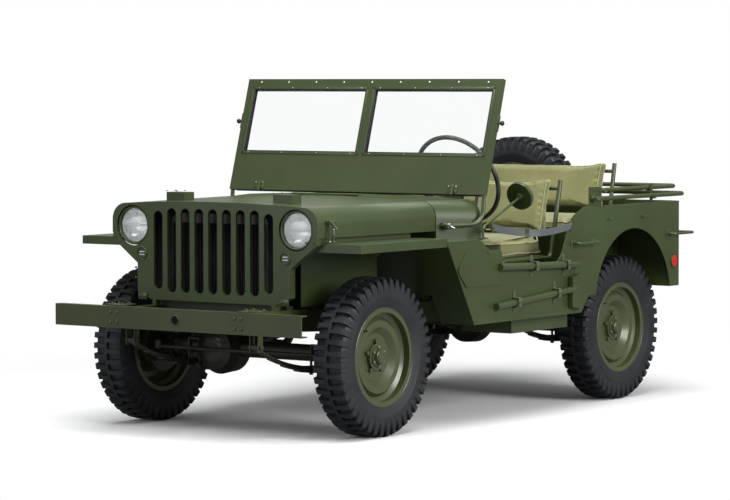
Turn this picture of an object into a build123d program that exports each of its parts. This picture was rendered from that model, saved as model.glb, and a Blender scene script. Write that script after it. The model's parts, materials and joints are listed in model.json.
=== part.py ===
from build123d import *
from math import atan2, cos, degrees, radians, sin, sqrt
import os

# Light four-wheel-drive army car with an open body, parked on its wheels.
# +X is forward, +Y is the car's left and +Z is up. The origin is on the floor, under the middle of the length.

# Driving dimensions, mm
wheelbase = 2032
track = 1245
front_reach = 620
rear_reach = 2707
body_half = 787.5
panel = 3
gap = 0.3
tube_r = 11

# Stations along the car
front_axle_x = (rear_reach - front_reach) / 2
rear_axle_x = front_axle_x - wheelbase
bumper_face_x = front_axle_x + front_reach
grille_x = front_axle_x + 350
grille_flange = 34
fender_front_x = grille_x - grille_flange - 0.3
fender_rear_x = front_axle_x - 350
hood_rear_x = front_axle_x - 500
dash_x = front_axle_x - 740
toe_x = front_axle_x - 574
step_x = front_axle_x - 1560
tub_rear_x = front_axle_x - 2480

# Heights
sill_z = 465
valance_z = 545
front_floor_z = 575
rear_floor_z = 655
door_low_z = 710
ledge_z = 852
tub_top_z = 969
fender_z = 868
hood_side_z = 892
hood_front_z = 1036
cowl_top_z = 1043

# Wheels and tyres
tyre_r = 355.5
tyre_half_width = 80
carcass_r = 333
lug_count = 32
lug_width = 24
shoulder_r = 272
crown_half = 66
rim_r = 220
rim_half_width = 62
rim_wall = 4
bead_r = 203
well_r = 182
disc_wall = 5
nut_circle_r = 69.85
nut_count = 5
nut_r = 11
nut_height = 14
drum_r = 125
drum_wall = 7
spindle_r = 28
hub_z = tyre_r
wheel_y = track / 2
king_pin_y = 485
backing_y = wheel_y - 59
arm_x = 150
arm_y = king_pin_y - 10
arm_z = 380
rod_z = arm_z - 18.3

# Chassis
rail_outer_y = 371
rail_width = 44
rail_wall = 4
rail_top_z = 545
rail_depth = 100
kick_rise = 75
axle_tube_r = 38
spring_y = rail_outer_y - rail_width / 2
spring_width = 45
bumper_half = 690
bumper_low_z = 481
bumper_height = 96
bumper_depth = 42

spring_front = 490
spring_back = 430
eye_half = 20
eye_r = 15
eye_z = 418
radiator_x = front_axle_x + 270
radiator_low_z = 585
engine_low_z = 560
grille_low_z = 592
foot_half = 350

# Windshield
wind_base_x = dash_x + 6
wind_base_z = cowl_top_z + 6
wind_height = 556
wind_half = 740
wind_tilt = 17
wind_depth = 22
wind_pivot_x = front_axle_x - 530
wind_pivot_z = 915
lower_panel = 168

# Bows, steering and seats
upper_bow_z = 1043
lower_bow_z = 1005
upper_bow_y = 744
lower_bow_y = 776
bow_post_y = (upper_bow_y + lower_bow_y) / 2
bow_pin_r = 6
bow_rest_x = front_axle_x - 2205
column_tilt = 25
column_length = 1140
column_r = 19
wheel_centre = (front_axle_x - 1120, 330, 1105)
column_way = Vector(-cos(radians(column_tilt)), 0, sin(radians(column_tilt)))
wheel_mid = Vector(*wheel_centre)
column_high = tuple(wheel_mid - column_way * 24.3)
column_low = tuple(wheel_mid - column_way * column_length)
steering_rim_r = 222
seat_foot = 20
foot_pin_r = 5
# Columns: name, y of the middle, half width, x of the front legs and of the back's foot, tops of the cushion
# and the back, lean of the back, floor height, height of the hinge eyes above the floor (0 if it stands fixed)
seat_table = (
    ("driver", 360, 245, front_axle_x - 1090, front_axle_x - 1530, 815, 1112, 90, front_floor_z + panel, 0),
    ("passenger", -360, 245, front_axle_x - 1090, front_axle_x - 1530, 815, 1112, 90, front_floor_z + panel, seat_foot),
    ("rear", 0, 455, front_axle_x - 1925, front_axle_x - 2310, 885, 1174, 70, rear_floor_z + panel, seat_foot),
)


def side_plane(y):
    """Upright plane along the car at the given y, drawn in x and z."""
    return Plane.XZ.offset(-y)


def cross_plane(x):
    """Upright plane across the car at the given x, drawn in y and z."""
    return Plane.YZ.offset(x)


def strip(start, end, thickness):
    """Corners of a straight strip of sheet, its thickness on the left of the way from start to end."""
    length = sqrt((end[0] - start[0]) ** 2 + (end[1] - start[1]) ** 2)
    nx = -(end[1] - start[1]) / length * thickness
    ny = (end[0] - start[0]) / length * thickness
    return [start, end, (end[0] + nx, end[1] + ny), (start[0] + nx, start[1] + ny), start]


def plate(plane, corners, thickness):
    """A flat plate: the closed outline drawn on the plane and thickened along its normal."""
    with BuildSketch(plane) as outline:
        with BuildLine():
            Polyline(*corners, close=corners[0] != corners[-1])
        make_face()
    extrude(outline.sketch, amount=thickness)


def block(low, high, mode=Mode.ADD):
    """A rectangular bar between two opposite corners."""
    size = [abs(high[i] - low[i]) for i in range(3)]
    middle = tuple((high[i] + low[i]) / 2 for i in range(3))
    with Locations(middle):
        Box(*size, mode=mode)


def rod(start, end, radius, mode=Mode.ADD):
    """A round bar between two points."""
    way = Vector(*end) - Vector(*start)
    with BuildSketch(Plane(origin=start, z_dir=way)) as section:
        Circle(radius)
    extrude(section.sketch, amount=way.length, mode=mode)


def bent_tube(points, bend, radius):
    """A round tube along straight runs that are joined by arcs."""
    with BuildLine():
        path = FilletPolyline(*points, radius=bend)
    with BuildSketch(Plane(origin=path @ 0, z_dir=path % 0)) as section:
        Circle(radius)
    sweep(sections=section.sketch, path=path)


def arch_outline(half, top, low, shoulder, crown=14):
    """Section of the hood or cowl: upright sides, round shoulders and a slightly crowned top."""
    side_top = top - crown - shoulder
    corner = shoulder * (1 - sin(radians(45)))
    with BuildLine() as outline:
        Line((-half, low), (-half, side_top))
        ThreePointArc((-half, side_top), (-half + corner, top - crown - corner), (-half + shoulder, top - crown))
        ThreePointArc((-half + shoulder, top - crown), (0, top), (half - shoulder, top - crown))
        ThreePointArc((half - shoulder, top - crown), (half - corner, top - crown - corner), (half, side_top))
        Line((half, side_top), (half, low))
        Line((half, low), (-half, low))
    make_face(outline.edges())


# Frame: two channel rails that rise over the rear axle, and their cross members
rail_front_x = bumper_face_x - bumper_depth
rail_rear_x = tub_rear_x
rail_line = (
    (rail_front_x, 22),
    (front_axle_x + 200, 22),
    (front_axle_x - 200, 0),
    (rear_axle_x + 520, 0),
    (rear_axle_x + 260, kick_rise),
    (rear_axle_x - 260, kick_rise),
    (rail_rear_x, kick_rise - 20),
)
front_taper = 14


def rail_outline():
    """Side of one rail, drawn in x and z."""
    tops = [(x, rail_top_z + rise) for x, rise in rail_line]
    lows = [(x, rail_top_z - rail_depth + rise) for x, rise in rail_line]
    lows[0] = (lows[0][0], lows[0][1] + front_taper)
    with BuildLine() as outline:
        Polyline(*tops, *reversed(lows), close=True)
    make_face(outline.edges())


with BuildPart() as frame:
    with BuildSketch(side_plane(rail_outer_y)):
        rail_outline()
    extrude(amount=rail_width)
    with BuildSketch(side_plane(rail_outer_y - rail_wall)):
        rail_outline()
        offset(amount=-rail_wall)
    extrude(amount=rail_width, mode=Mode.SUBTRACT)
    mirror(about=Plane.XZ)
    # Spring hangers: two plates beside each eye
    for x, top in (
        (front_axle_x + spring_front, 500),
        (front_axle_x - spring_back, 470),
        (rear_axle_x + spring_front, 470),
        (rear_axle_x - spring_back, 540),
    ):
        for side in (-1, 1):
            for way in (-1, 1):
                y = side * spring_y + way * (eye_half + gap)
                block((x - 17, y, eye_z - 22), (x + 17, y + way * rail_wall, top))
    # Body mounts on top of the rails, and brackets under the grille
    for x, low, high in (
        (front_axle_x - 800, rail_top_z, front_floor_z),
        (front_axle_x - 1420, rail_top_z, front_floor_z),
        (front_axle_x - 1880, rail_top_z + kick_rise - 4, rear_floor_z),
        (front_axle_x - 2400, rail_top_z + kick_rise - 20, rear_floor_z),
    ):
        for side in (-1, 1):
            block((x - 30, side * (spring_y - 15), low), (x + 30, side * (spring_y + 15), high))
    for side in (-1, 1):
        block(
            (grille_x - grille_flange, side * (rail_outer_y - rail_width), rail_top_z + 18),
            (grille_x, side * (foot_half - 4), grille_low_z),
        )

# Cross members let into the rails, and the mount that the engine stands on
with BuildPart() as cross_members:
    # Columns: x of the middle, depth along x, bottom and top
    for x, depth, low, high in (
        (front_axle_x + 500, 50, 490, 545),
        (radiator_x, 44, 510, radiator_low_z),
        (front_axle_x + 90, 60, 500, 550),
        (front_axle_x - 1040, 60, 505, 540),
        (rear_axle_x + 640, 60, 465, 540),
        (rear_axle_x - 30, 60, 540, 615),
        (rail_rear_x + 25, 50, 515, 590),
    ):
        reach = rail_outer_y - rail_wall
        block((x - depth / 2, -reach, low), (x + depth / 2, reach, high))
    block((front_axle_x + 70, -190, 550), (front_axle_x + 110, 190, engine_low_z))
    add(frame.part, mode=Mode.SUBTRACT)

# Front bumper: a channel with its closed face forward, and a hole for the starting crank
crank_hole_r = 20
bumper_top_z = bumper_low_z + bumper_height
with BuildPart() as front_bumper:
    with BuildSketch(side_plane(bumper_half)):
        with BuildLine():
            Polyline(
                (bumper_face_x, bumper_low_z),
                (bumper_face_x, bumper_top_z),
                (rail_front_x, bumper_top_z),
                (rail_front_x, bumper_top_z - 6),
                (bumper_face_x - 6, bumper_top_z - 6),
                (bumper_face_x - 6, bumper_low_z + 6),
                (rail_front_x, bumper_low_z + 6),
                (rail_front_x, bumper_low_z),
                close=True,
            )
        make_face()
    extrude(amount=2 * bumper_half)
    with BuildSketch(cross_plane(bumper_face_x)):
        with Locations((0, bumper_low_z + bumper_height / 2)):
            Circle(crank_hole_r)
    extrude(amount=-8, mode=Mode.SUBTRACT)
    # Backing blocks against the rails' ends
    for side in (-1, 1):
        y = side * spring_y
        block((rail_front_x, y - 24, bumper_low_z + 6), (bumper_face_x - 6, y + 24, bumper_top_z - 6))

# Two bumperettes and the tow hook behind the rear cross member
bumperette_low_z = 486
bumperette_high_z = 560
with BuildPart() as rear_bumperettes:
    for side in (-1, 1):
        y = side * 400
        with BuildSketch(Plane.XY.offset(bumperette_low_z)):
            with BuildLine():
                Polyline(
                    (rail_rear_x - 16, y - side * 75),
                    (rail_rear_x - 96, y - side * 50),
                    (rail_rear_x - 96, y + side * 110),
                    (rail_rear_x - 16, y + side * 135),
                    (rail_rear_x - 16, y + side * 125),
                    (rail_rear_x - 88, y + side * 102),
                    (rail_rear_x - 88, y - side * 42),
                    (rail_rear_x - 16, y - side * 65),
                    close=True,
                )
            make_face()
        extrude(amount=bumperette_high_z - bumperette_low_z)
        block((rail_rear_x - 16, y - 75, bumperette_low_z), (rail_rear_x - 8, y + 75, bumperette_high_z))
        block((rail_rear_x - 8, side * 350 - 20, 515), (rail_rear_x, side * 350 + 20, bumperette_high_z))

hook_x = rail_rear_x - 122
hook_z = 570
with BuildPart() as tow_hook:
    block((rail_rear_x - 12, -55, hook_z - 40), (rail_rear_x, 55, hook_z + 40))
    rod((rail_rear_x - 12, 0, hook_z), (hook_x + 38, 0, hook_z), 20)
    with BuildSketch(side_plane(16)):
        with Locations((hook_x, hook_z)):
            Circle(42)
            Circle(20, mode=Mode.SUBTRACT)
    extrude(amount=32)

# Engine as a plain block, radiator, gearbox with transfer case
with BuildPart() as engine:
    block((front_axle_x - 430, -190, engine_low_z), (front_axle_x + 190, 190, 960))
    chamfer(engine.edges().filter_by(Axis.X).group_by(Axis.Z)[-1], 70)

with BuildPart() as radiator:
    block((radiator_x - 30, -270, radiator_low_z), (radiator_x + 30, 270, 985))
    fillet(radiator.edges().filter_by(Axis.X).group_by(Axis.Z)[-1], 40)

transfer_y = -205
with BuildPart() as gearbox:
    with BuildSketch(cross_plane(front_axle_x - 430.3)):
        with Locations((0, 520)):
            Circle(52)
    extrude(amount=-170)
    with BuildSketch(cross_plane(front_axle_x - 600)):
        with Locations((0, 505)):
            RectangleRounded(190, 120, 30)
    extrude(amount=-300)
    with BuildSketch(cross_plane(front_axle_x - 820)):
        with Locations((transfer_y / 2, 490)):
            SlotOverall(430, 140)
    extrude(amount=-150)
    # Gear lever and the two levers of the transfer case
    # Columns: x, y, z of the foot, then of the knob, and the knob's radius
    for x1, y1, z1, x2, y2, z2, knob_r in (
        (-700, 0, 555, -850, 30, 1010, 17),
        (-840, -70, 555, -880, -70, 850, 14),
        (-840, -105, 550, -900, -105, 820, 14),
    ):
        rod((front_axle_x + x1, y1, z1), (front_axle_x + x2, y2, z2), 7)
        with Locations((front_axle_x + x2, y2, z2)):
            Sphere(knob_r)

# Axles, with the bowl of the final drive offset to the right
drive_outline = (
    (-175, 0),
    (-175, 36),
    (-110, 44),
    (-84, 84),
    (-48, 113),
    (40, 118),
    (82, 95),
    (104, 52),
    (108, 0),
)
saddle_top_z = hub_z - axle_tube_r
saddle_low_z = saddle_top_z - 12
saddle_half = 34
ball_r = 48
pin_r = 14


def final_drive(axle_x, facing):
    """The round bowl with its pinion nose, whose front looks along facing."""
    place = Plane(origin=(axle_x, transfer_y, hub_z), x_dir=(facing, 0, 0), z_dir=(0, -facing, 0))
    with BuildSketch(place) as outline:
        with BuildLine():
            Polyline(*drive_outline, close=True)
        make_face()
    revolve(outline.sketch, axis=Axis((axle_x, transfer_y, hub_z), (1, 0, 0)))


with BuildPart() as front_axle:
    rod((front_axle_x, -king_pin_y, hub_z), (front_axle_x, king_pin_y, hub_z), axle_tube_r)
    final_drive(front_axle_x, 1)
    for side in (-1, 1):
        with Locations((front_axle_x, side * king_pin_y, hub_z)):
            Sphere(ball_r)
        rod(
            (front_axle_x, side * king_pin_y, hub_z - ball_r - 22),
            (front_axle_x, side * king_pin_y, hub_z + ball_r + 22),
            pin_r,
        )
        y = side * spring_y
        block((front_axle_x - saddle_half, y - 24, saddle_low_z), (front_axle_x + saddle_half, y + 24, saddle_top_z + 14))

with BuildPart() as rear_axle:
    rod((rear_axle_x, -backing_y, hub_z), (rear_axle_x, backing_y, hub_z), axle_tube_r)
    final_drive(rear_axle_x, -1)
    for side in (-1, 1):
        rod((rear_axle_x, side * (backing_y - 4), hub_z), (rear_axle_x, side * backing_y, hub_z), drum_r - 2)
        rod((rear_axle_x, side * backing_y, hub_z), (rear_axle_x, side * (wheel_y + 22), hub_z), spindle_r)
        y = side * spring_y
        block((rear_axle_x - saddle_half, y - 24, saddle_low_z), (rear_axle_x + saddle_half, y + 24, saddle_top_z + 14))

# Leaf springs under the axles: a long main leaf with eyes and shorter leaves below it
leaf_top_z = saddle_low_z
leaf_thick = 8
leaf_count = 4
with BuildPart() as leaf_springs:
    for axle_x in (front_axle_x, rear_axle_x):
        for side in (-1, 1):
            y = side * spring_y
            for number in range(leaf_count):
                top = leaf_top_z - number * leaf_thick
                share = 1 - 0.2 * number
                fx = axle_x + spring_front * share
                rx = axle_x - spring_back * share
                end_z = top + (eye_z - eye_r - leaf_top_z + leaf_thick) * share ** 2
                with BuildSketch(side_plane(y + eye_half - 2)):
                    with BuildLine():
                        for z in (top, top - leaf_thick):
                            rise = end_z - top
                            Line((axle_x - saddle_half, z), (axle_x + saddle_half, z))
                            TangentArc((axle_x + saddle_half, z), (fx, z + rise), tangent=(1, 0))
                            TangentArc((axle_x - saddle_half, z), (rx, z + rise), tangent=(-1, 0))
                        Line((rx, end_z), (rx, end_z - leaf_thick))
                        Line((fx, end_z - leaf_thick), (fx, end_z))
                    make_face()
                extrude(amount=2 * eye_half - 4)
            for x in (axle_x + spring_front, axle_x - spring_back):
                rod((x, y - eye_half, eye_z), (x, y + eye_half, eye_z), eye_r)

# Propeller shafts from the transfer case to the two axles
with BuildPart() as propeller_shafts:
    for start, end in (
        ((front_axle_x - 180, transfer_y, hub_z + 2), (front_axle_x - 815, transfer_y, 470)),
        ((rear_axle_x + 179.5, transfer_y, hub_z + 2), (front_axle_x - 974, transfer_y, 470)),
    ):
        rod(start, end, 26)

# Exhaust: a pipe under the right side and a round silencer
exhaust_y = -470
exhaust_z = 405
with BuildPart() as exhaust:
    bent_tube(
        (
            (front_axle_x - 400, -130, engine_low_z),
            (front_axle_x - 400, -130, exhaust_z - 60),
            (front_axle_x - 470, exhaust_y, exhaust_z - 60),
            (front_axle_x - 700, exhaust_y, exhaust_z),
            (front_axle_x - 1000, exhaust_y, exhaust_z),
        ),
        60,
        19,
    )
    rod((front_axle_x - 980, exhaust_y, exhaust_z), (front_axle_x - 1400, exhaust_y, exhaust_z), 55)
    rod((front_axle_x - 1390, exhaust_y, exhaust_z), (front_axle_x - 1480, exhaust_y, exhaust_z), 19)

# Tub: side panels with the door openings and rear arches, floors, wheel houses and rear panel
arch_centre_x = front_axle_x - 1990
arch_centre_z = 490
arch_r = 360
arch_foot = sqrt(arch_r ** 2 - (valance_z - arch_centre_z) ** 2)
corner_r = 60
house_y = 480
house_top_z = 862
house_front_x = step_x - 60
inner = body_half - panel
with BuildPart() as tub:
    with BuildSketch(Plane.XY.offset(sill_z)) as plan:
        with Locations(((fender_rear_x + tub_rear_x) / 2, 0)):
            Rectangle(fender_rear_x - tub_rear_x, 2 * body_half)
        fillet(plan.vertices().group_by(Axis.X)[0], corner_r)
        offset(amount=-panel, mode=Mode.SUBTRACT)
        with Locations((fender_rear_x, 0)):
            Rectangle(4 * panel, 2 * body_half, mode=Mode.SUBTRACT)
    extrude(amount=tub_top_z - sill_z)
    with BuildSketch(Plane.XZ) as side_view:
        with BuildLine():
            upper = FilletPolyline(
                (fender_rear_x, ledge_z),
                (front_axle_x - 620, ledge_z),
                (front_axle_x - 830, door_low_z),
                (front_axle_x - 1300, door_low_z),
                (front_axle_x - 1400, door_low_z + 215),
                (front_axle_x - 1520, tub_top_z),
                (tub_rear_x - 1, tub_top_z),
                radius=[80, 300, 110, 120, 120],
            )
            Polyline((tub_rear_x - 1, tub_top_z), (tub_rear_x - 1, valance_z), (arch_centre_x - arch_foot, valance_z))
            ThreePointArc(
                (arch_centre_x - arch_foot, valance_z),
                (arch_centre_x, arch_centre_z + arch_r),
                (arch_centre_x + arch_foot, valance_z),
            )
            Polyline(
                (arch_centre_x + arch_foot, valance_z),
                (step_x - 10, valance_z),
                (step_x + 60, sill_z),
                (toe_x, sill_z),
                (fender_rear_x, ledge_z),
            )
        make_face()
    extrude(amount=body_half + 1, both=True, mode=Mode.INTERSECT)
    for side in (-1, 1):
        # Rolled rail along the top of the side, and the bow brackets on it
        block(
            (tub_rear_x + corner_r, side * (inner - 26), tub_top_z - 18),
            (front_axle_x - 1545, side * inner, tub_top_z),
        )
        for low_x, high_x in ((front_axle_x - 1725, front_axle_x - 1612), (bow_rest_x - 12, bow_rest_x + 12)):
            block((low_x, side * (bow_post_y - 2.5), tub_top_z - 18), (high_x, side * (bow_post_y + 2.5), 1062))
        for x, z, half, way in (
            (front_axle_x - 1700, upper_bow_z, upper_bow_y, -1),
            (front_axle_x - 1635, lower_bow_z, lower_bow_y, 1),
        ):
            rod((x, side * bow_post_y, z), (x, side * (half + way * 12), z), bow_pin_r)
            block(
                (bow_rest_x - 12, side * bow_post_y, z - tube_r - gap - 5),
                (bow_rest_x + 12, side * (half + way * 8), z - tube_r - gap),
            )
        # Ledge between the cowl and the outside of the body
        plate(
            Plane.XY.offset(ledge_z - panel),
            [
                (fender_rear_x - panel, side * 590),
                (fender_rear_x - panel, side * inner),
                (front_axle_x - 640, side * inner),
                (dash_x, side * 736),
                (dash_x, side * 590),
            ],
            panel,
        )
    # Room for the frame's end under the rear panel
    block((tub_rear_x - 1, -house_y, valance_z - 1), (tub_rear_x + panel, house_y, 606), mode=Mode.SUBTRACT)

# Floor: toe board, front floor with the fuel well under the driver, step and rear floor
bend_x = front_axle_x - 620
bend_z = 690
toe_length = sqrt((bend_x - dash_x) ** 2 + (bend_z - front_floor_z) ** 2)
toe_way_x = (bend_x - dash_x) / toe_length
toe_way_z = (bend_z - front_floor_z) / toe_length
with BuildPart() as floor:
    block((step_x, -inner, front_floor_z), (dash_x, inner, front_floor_z + panel))
    well = ((front_axle_x - 1480, 440), (front_axle_x - 985, 720))
    block((well[0][0], well[0][1], 395), (well[1][0], well[1][1], front_floor_z))
    for start, end in (
        ((dash_x, front_floor_z), (bend_x, bend_z)),
        ((bend_x, bend_z), (hood_rear_x - 2 * panel, ledge_z - 2 * panel)),
    ):
        plate(side_plane(inner), strip(start, end, panel), 2 * inner)
    block((step_x - panel, -inner, front_floor_z), (step_x, inner, rear_floor_z))
    block((tub_rear_x + panel, -house_y, rear_floor_z), (step_x, house_y, rear_floor_z + panel))
    for side in (-1, 1):
        block((step_x, side * house_y, rear_floor_z), (house_front_x, side * inner, rear_floor_z + panel))
    # Hinge brackets of the seats that tip forward: two ears and a pin at each front foot
    for name, mid_y, half, front_x, rear_x, seat_z, back_top, lean, floor_z, foot in seat_table:
        for side in (-1, 1):
            y = mid_y + side * (half - tube_r)
            if foot:
                rod((front_x, y - tube_r - 5, floor_z + foot), (front_x, y + tube_r + 5, floor_z + foot), foot_pin_r)
                for way in (-1, 1):
                    block(
                        (front_x - 12, y + way * (tube_r + gap), floor_z),
                        (front_x + 12, y + way * (tube_r + 5), floor_z + foot + 11),
                    )
    # Holes for the steering column and the levers
    rod(column_low, column_high, column_r + gap, Mode.SUBTRACT)
    for low_x, high_x, low_y, high_y in ((-745, -680, -26, 26), (-870, -820, -125, -55)):
        block(
            (front_axle_x + low_x, low_y, front_floor_z - 20),
            (front_axle_x + high_x, high_y, bend_z - 30),
            mode=Mode.SUBTRACT,
        )

# Wheel houses, each with a tool box behind the wheel
with BuildPart() as wheel_houses:
    for side in (-1, 1):
        low_y = side * house_y
        high_y = side * inner
        block((tub_rear_x + panel, low_y, valance_z), (house_front_x, side * (house_y + panel), house_top_z))
        block((tub_rear_x + panel, low_y, house_top_z - panel), (house_front_x, high_y, house_top_z))
        block((house_front_x - panel, low_y, valance_z), (house_front_x, high_y, house_top_z))
        # Partition, bottom and opening of the tool box
        block((arch_centre_x - arch_foot - 6, low_y, valance_z), (arch_centre_x - arch_foot, high_y, house_top_z))
        block((tub_rear_x + corner_r, low_y, valance_z), (arch_centre_x - arch_foot, high_y, valance_z + panel))
        block((tub_rear_x + panel, low_y, valance_z), (arch_centre_x - arch_foot, side * (inner - corner_r), valance_z + panel))
        block(
            (tub_rear_x + 14, side * 560, house_top_z - 2 * panel),
            (arch_centre_x - arch_foot - 14, side * 730, house_top_z + 1),
            mode=Mode.SUBTRACT,
        )
    # The corners of the body are round
    with BuildSketch(Plane.XY.offset(valance_z - 1)):
        with Locations((tub_rear_x, 0)):
            Rectangle(4 * corner_r, 4 * body_half)
        with BuildSketch(Plane.XY.offset(valance_z - 1), mode=Mode.PRIVATE) as plan_inside:
            with Locations((tub_rear_x + panel + 2 * corner_r, 0)):
                Rectangle(4 * corner_r, 2 * inner)
            fillet(plan_inside.vertices().group_by(Axis.X)[0], corner_r - panel)
        add(plan_inside.sketch, mode=Mode.SUBTRACT)
    extrude(amount=house_top_z - valance_z + 2, mode=Mode.SUBTRACT)

# Cowl: the fixed hood behind the engine, with the firewall and the dash panel
hood_front_half = 575
hood_rear_half = 625
cowl_rear_half = 714
hood_shoulder = 75
cowl_shoulder = 95
glove = (-560, -300, 905, 1000)
hinge_half = 110
hinge_r = 5
hinge_z = cowl_top_z + 5.5
lid_hinge_r = 3.5
with BuildPart() as cowl:
    with BuildSketch(cross_plane(hood_rear_x - gap)):
        arch_outline(hood_rear_half, cowl_top_z, ledge_z, hood_shoulder + 5)
    with BuildSketch(cross_plane(dash_x)):
        arch_outline(cowl_rear_half, cowl_top_z + 2, ledge_z, cowl_shoulder)
    loft()
    with BuildSketch(cross_plane(hood_rear_x - panel)):
        arch_outline(hood_rear_half - panel, cowl_top_z - panel, ledge_z - 1, hood_shoulder + 5 - panel)
    with BuildSketch(cross_plane(dash_x - 1)):
        arch_outline(cowl_rear_half - panel, cowl_top_z + 2 - panel, ledge_z - 1, cowl_shoulder - panel)
    loft(mode=Mode.SUBTRACT)
    # Dash panel
    with BuildSketch(cross_plane(dash_x + panel)):
        arch_outline(cowl_rear_half - 2 * panel, cowl_top_z - 1, ledge_z, cowl_shoulder - 2 * panel)
        with Locations((0, ledge_z)):
            Rectangle(2 * body_half, 40, mode=Mode.SUBTRACT)
        with Locations(((glove[0] + glove[1]) / 2, (glove[2] + glove[3]) / 2)):
            Rectangle(glove[1] - glove[0], glove[3] - glove[2], mode=Mode.SUBTRACT)
        with Locations((wheel_centre[1], 930)):
            Circle(38, mode=Mode.SUBTRACT)
    extrude(amount=-panel)
    # Hood hinge: a leaf and a barrel on each side of the hood's own
    for side in (-1, 1):
        block(
            (hood_rear_x - 34, side * (hinge_half + 2), cowl_top_z - 4),
            (hood_rear_x + 1, side * (hinge_half + 82), cowl_top_z + 2),
        )
        rod(
            (hood_rear_x + 3, side * (hinge_half + 2), hinge_z),
            (hood_rear_x + 3, side * (hinge_half + 82), hinge_z),
            hinge_r,
        )
    # Pivot pins of the windshield
    for side in (-1, 1):
        rod((wind_pivot_x, side * 634, wind_pivot_z), (wind_pivot_x, side * 674, wind_pivot_z), 7)

# Front fenders: flat top, turned-down lips, slanting rear plate and inner apron
lip = 38
apron_y = 398
inner_top_x = front_axle_x + 200
catch_x = front_axle_x + 262
catch_y = 601
catch_top_z = 962
with BuildPart() as front_fenders:
    plate(
        Plane.XY.offset(fender_z - panel),
        [
            (fender_front_x, hood_front_half - 24),
            (fender_front_x, body_half),
            (fender_rear_x + gap, body_half),
            (fender_rear_x + gap, hood_rear_half - 34),
        ],
        panel,
    )
    block((fender_rear_x, body_half - panel, fender_z - lip), (fender_front_x, body_half, fender_z))
    block((fender_front_x - panel, hood_front_half - 24, fender_z - lip), (fender_front_x, body_half, fender_z))
    plate(
        side_plane(body_half),
        strip((fender_rear_x + 1, ledge_z), (toe_x + 1, sill_z), panel),
        body_half - hood_rear_half + 20,
    )
    block((fender_rear_x + gap, hood_rear_half - 20, ledge_z - 4), (fender_rear_x + 5, body_half, fender_z))
    # Raised inner edge under the side of the hood, and the apron beside the engine
    plate(
        Plane.XY.offset(fender_z - panel),
        [
            (fender_front_x, hood_front_half - 24),
            (fender_front_x, hood_front_half - 20),
            (fender_rear_x + gap, hood_rear_half - 38),
            (fender_rear_x + gap, hood_rear_half - 42),
        ],
        hood_side_z + 20 - fender_z,
    )
    plate(
        Plane.XY.offset(fender_z - panel),
        [
            (inner_top_x, apron_y),
            (inner_top_x, hood_front_half - 12),
            (fender_rear_x + gap, hood_rear_half - 30),
            (fender_rear_x + gap, apron_y),
        ],
        panel,
    )
    block((fender_rear_x + gap, apron_y, rail_top_z + 35), (inner_top_x + 30, apron_y + panel, fender_z))
    # Hood catches: a foot, an upright rod and a hooked handle
    for x in (catch_x, catch_x + 28):
        rod((x, catch_y, fender_z), (x, catch_y, catch_top_z), 4)
    block((catch_x - 12, catch_y - 11, fender_z - 1), (catch_x + 40, catch_y + 14, fender_z + 7))
    rod((catch_x - 6, catch_y, catch_top_z), (catch_x + 34, catch_y, catch_top_z), 7)
    rod((catch_x + 14, catch_y, catch_top_z), (catch_x + 14, catch_y + 30, catch_top_z - 34), 5)
    mirror(about=Plane.XZ)

# Grille: a pressed panel with nine slots, round lamp openings and a stepped foot
slot_count = 9
slot_pitch = 78
slot_width = 51
slot_low_z = 641
slot_high_z = 993
lip_depth = 13
lamp_y = 460
lamp_z = 925
lamp_r = 92
marker_y = 405
marker_z = 800
marker_r = 30
neck_half = 432


def grille_outline():
    """Face of the grille panel: a wide head, sloping shoulders, a narrow neck and a stepped foot."""
    arch_outline(hood_front_half, hood_front_z, 860, hood_shoulder)
    with BuildLine() as outline:
        Polyline(
            (-hood_front_half, 862),
            (-neck_half, 755),
            (-neck_half, 625),
            (-foot_half, grille_low_z),
            (foot_half, grille_low_z),
            (neck_half, 625),
            (neck_half, 755),
            (hood_front_half, 862),
            close=True,
        )
    make_face(outline.edges())


def grille_holes(wider, mode):
    """Nine slots and the two lamp openings, made wider all round for the lips."""
    for number in range(slot_count):
        middle = (number - (slot_count - 1) / 2) * slot_pitch
        longer = 0 if number in (0, slot_count - 1) else 14
        length = slot_high_z - slot_low_z + 2 * (longer + wider)
        with Locations((middle, (slot_low_z + slot_high_z) / 2)):
            SlotOverall(length, slot_width + 2 * wider, rotation=90, mode=mode)
    with Locations((-lamp_y, lamp_z), (lamp_y, lamp_z)):
        Circle(lamp_r + wider, mode=mode)


with BuildPart() as grille:
    with BuildSketch(cross_plane(grille_x)):
        grille_outline()
    extrude(amount=-grille_flange)
    with BuildSketch(cross_plane(grille_x - panel)):
        grille_outline()
        offset(amount=-panel)
    extrude(amount=-grille_flange, mode=Mode.SUBTRACT)
    with BuildSketch(cross_plane(grille_x)):
        grille_holes(0, Mode.ADD)
        with Locations((-marker_y, marker_z), (marker_y, marker_z)):
            Circle(marker_r)
    extrude(amount=-2 * panel, mode=Mode.SUBTRACT)
    # Pressed lips that turn back round every slot and lamp opening
    with BuildSketch(cross_plane(grille_x)):
        grille_holes(2, Mode.ADD)
        grille_holes(0, Mode.SUBTRACT)
    extrude(amount=-lip_depth)

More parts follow.
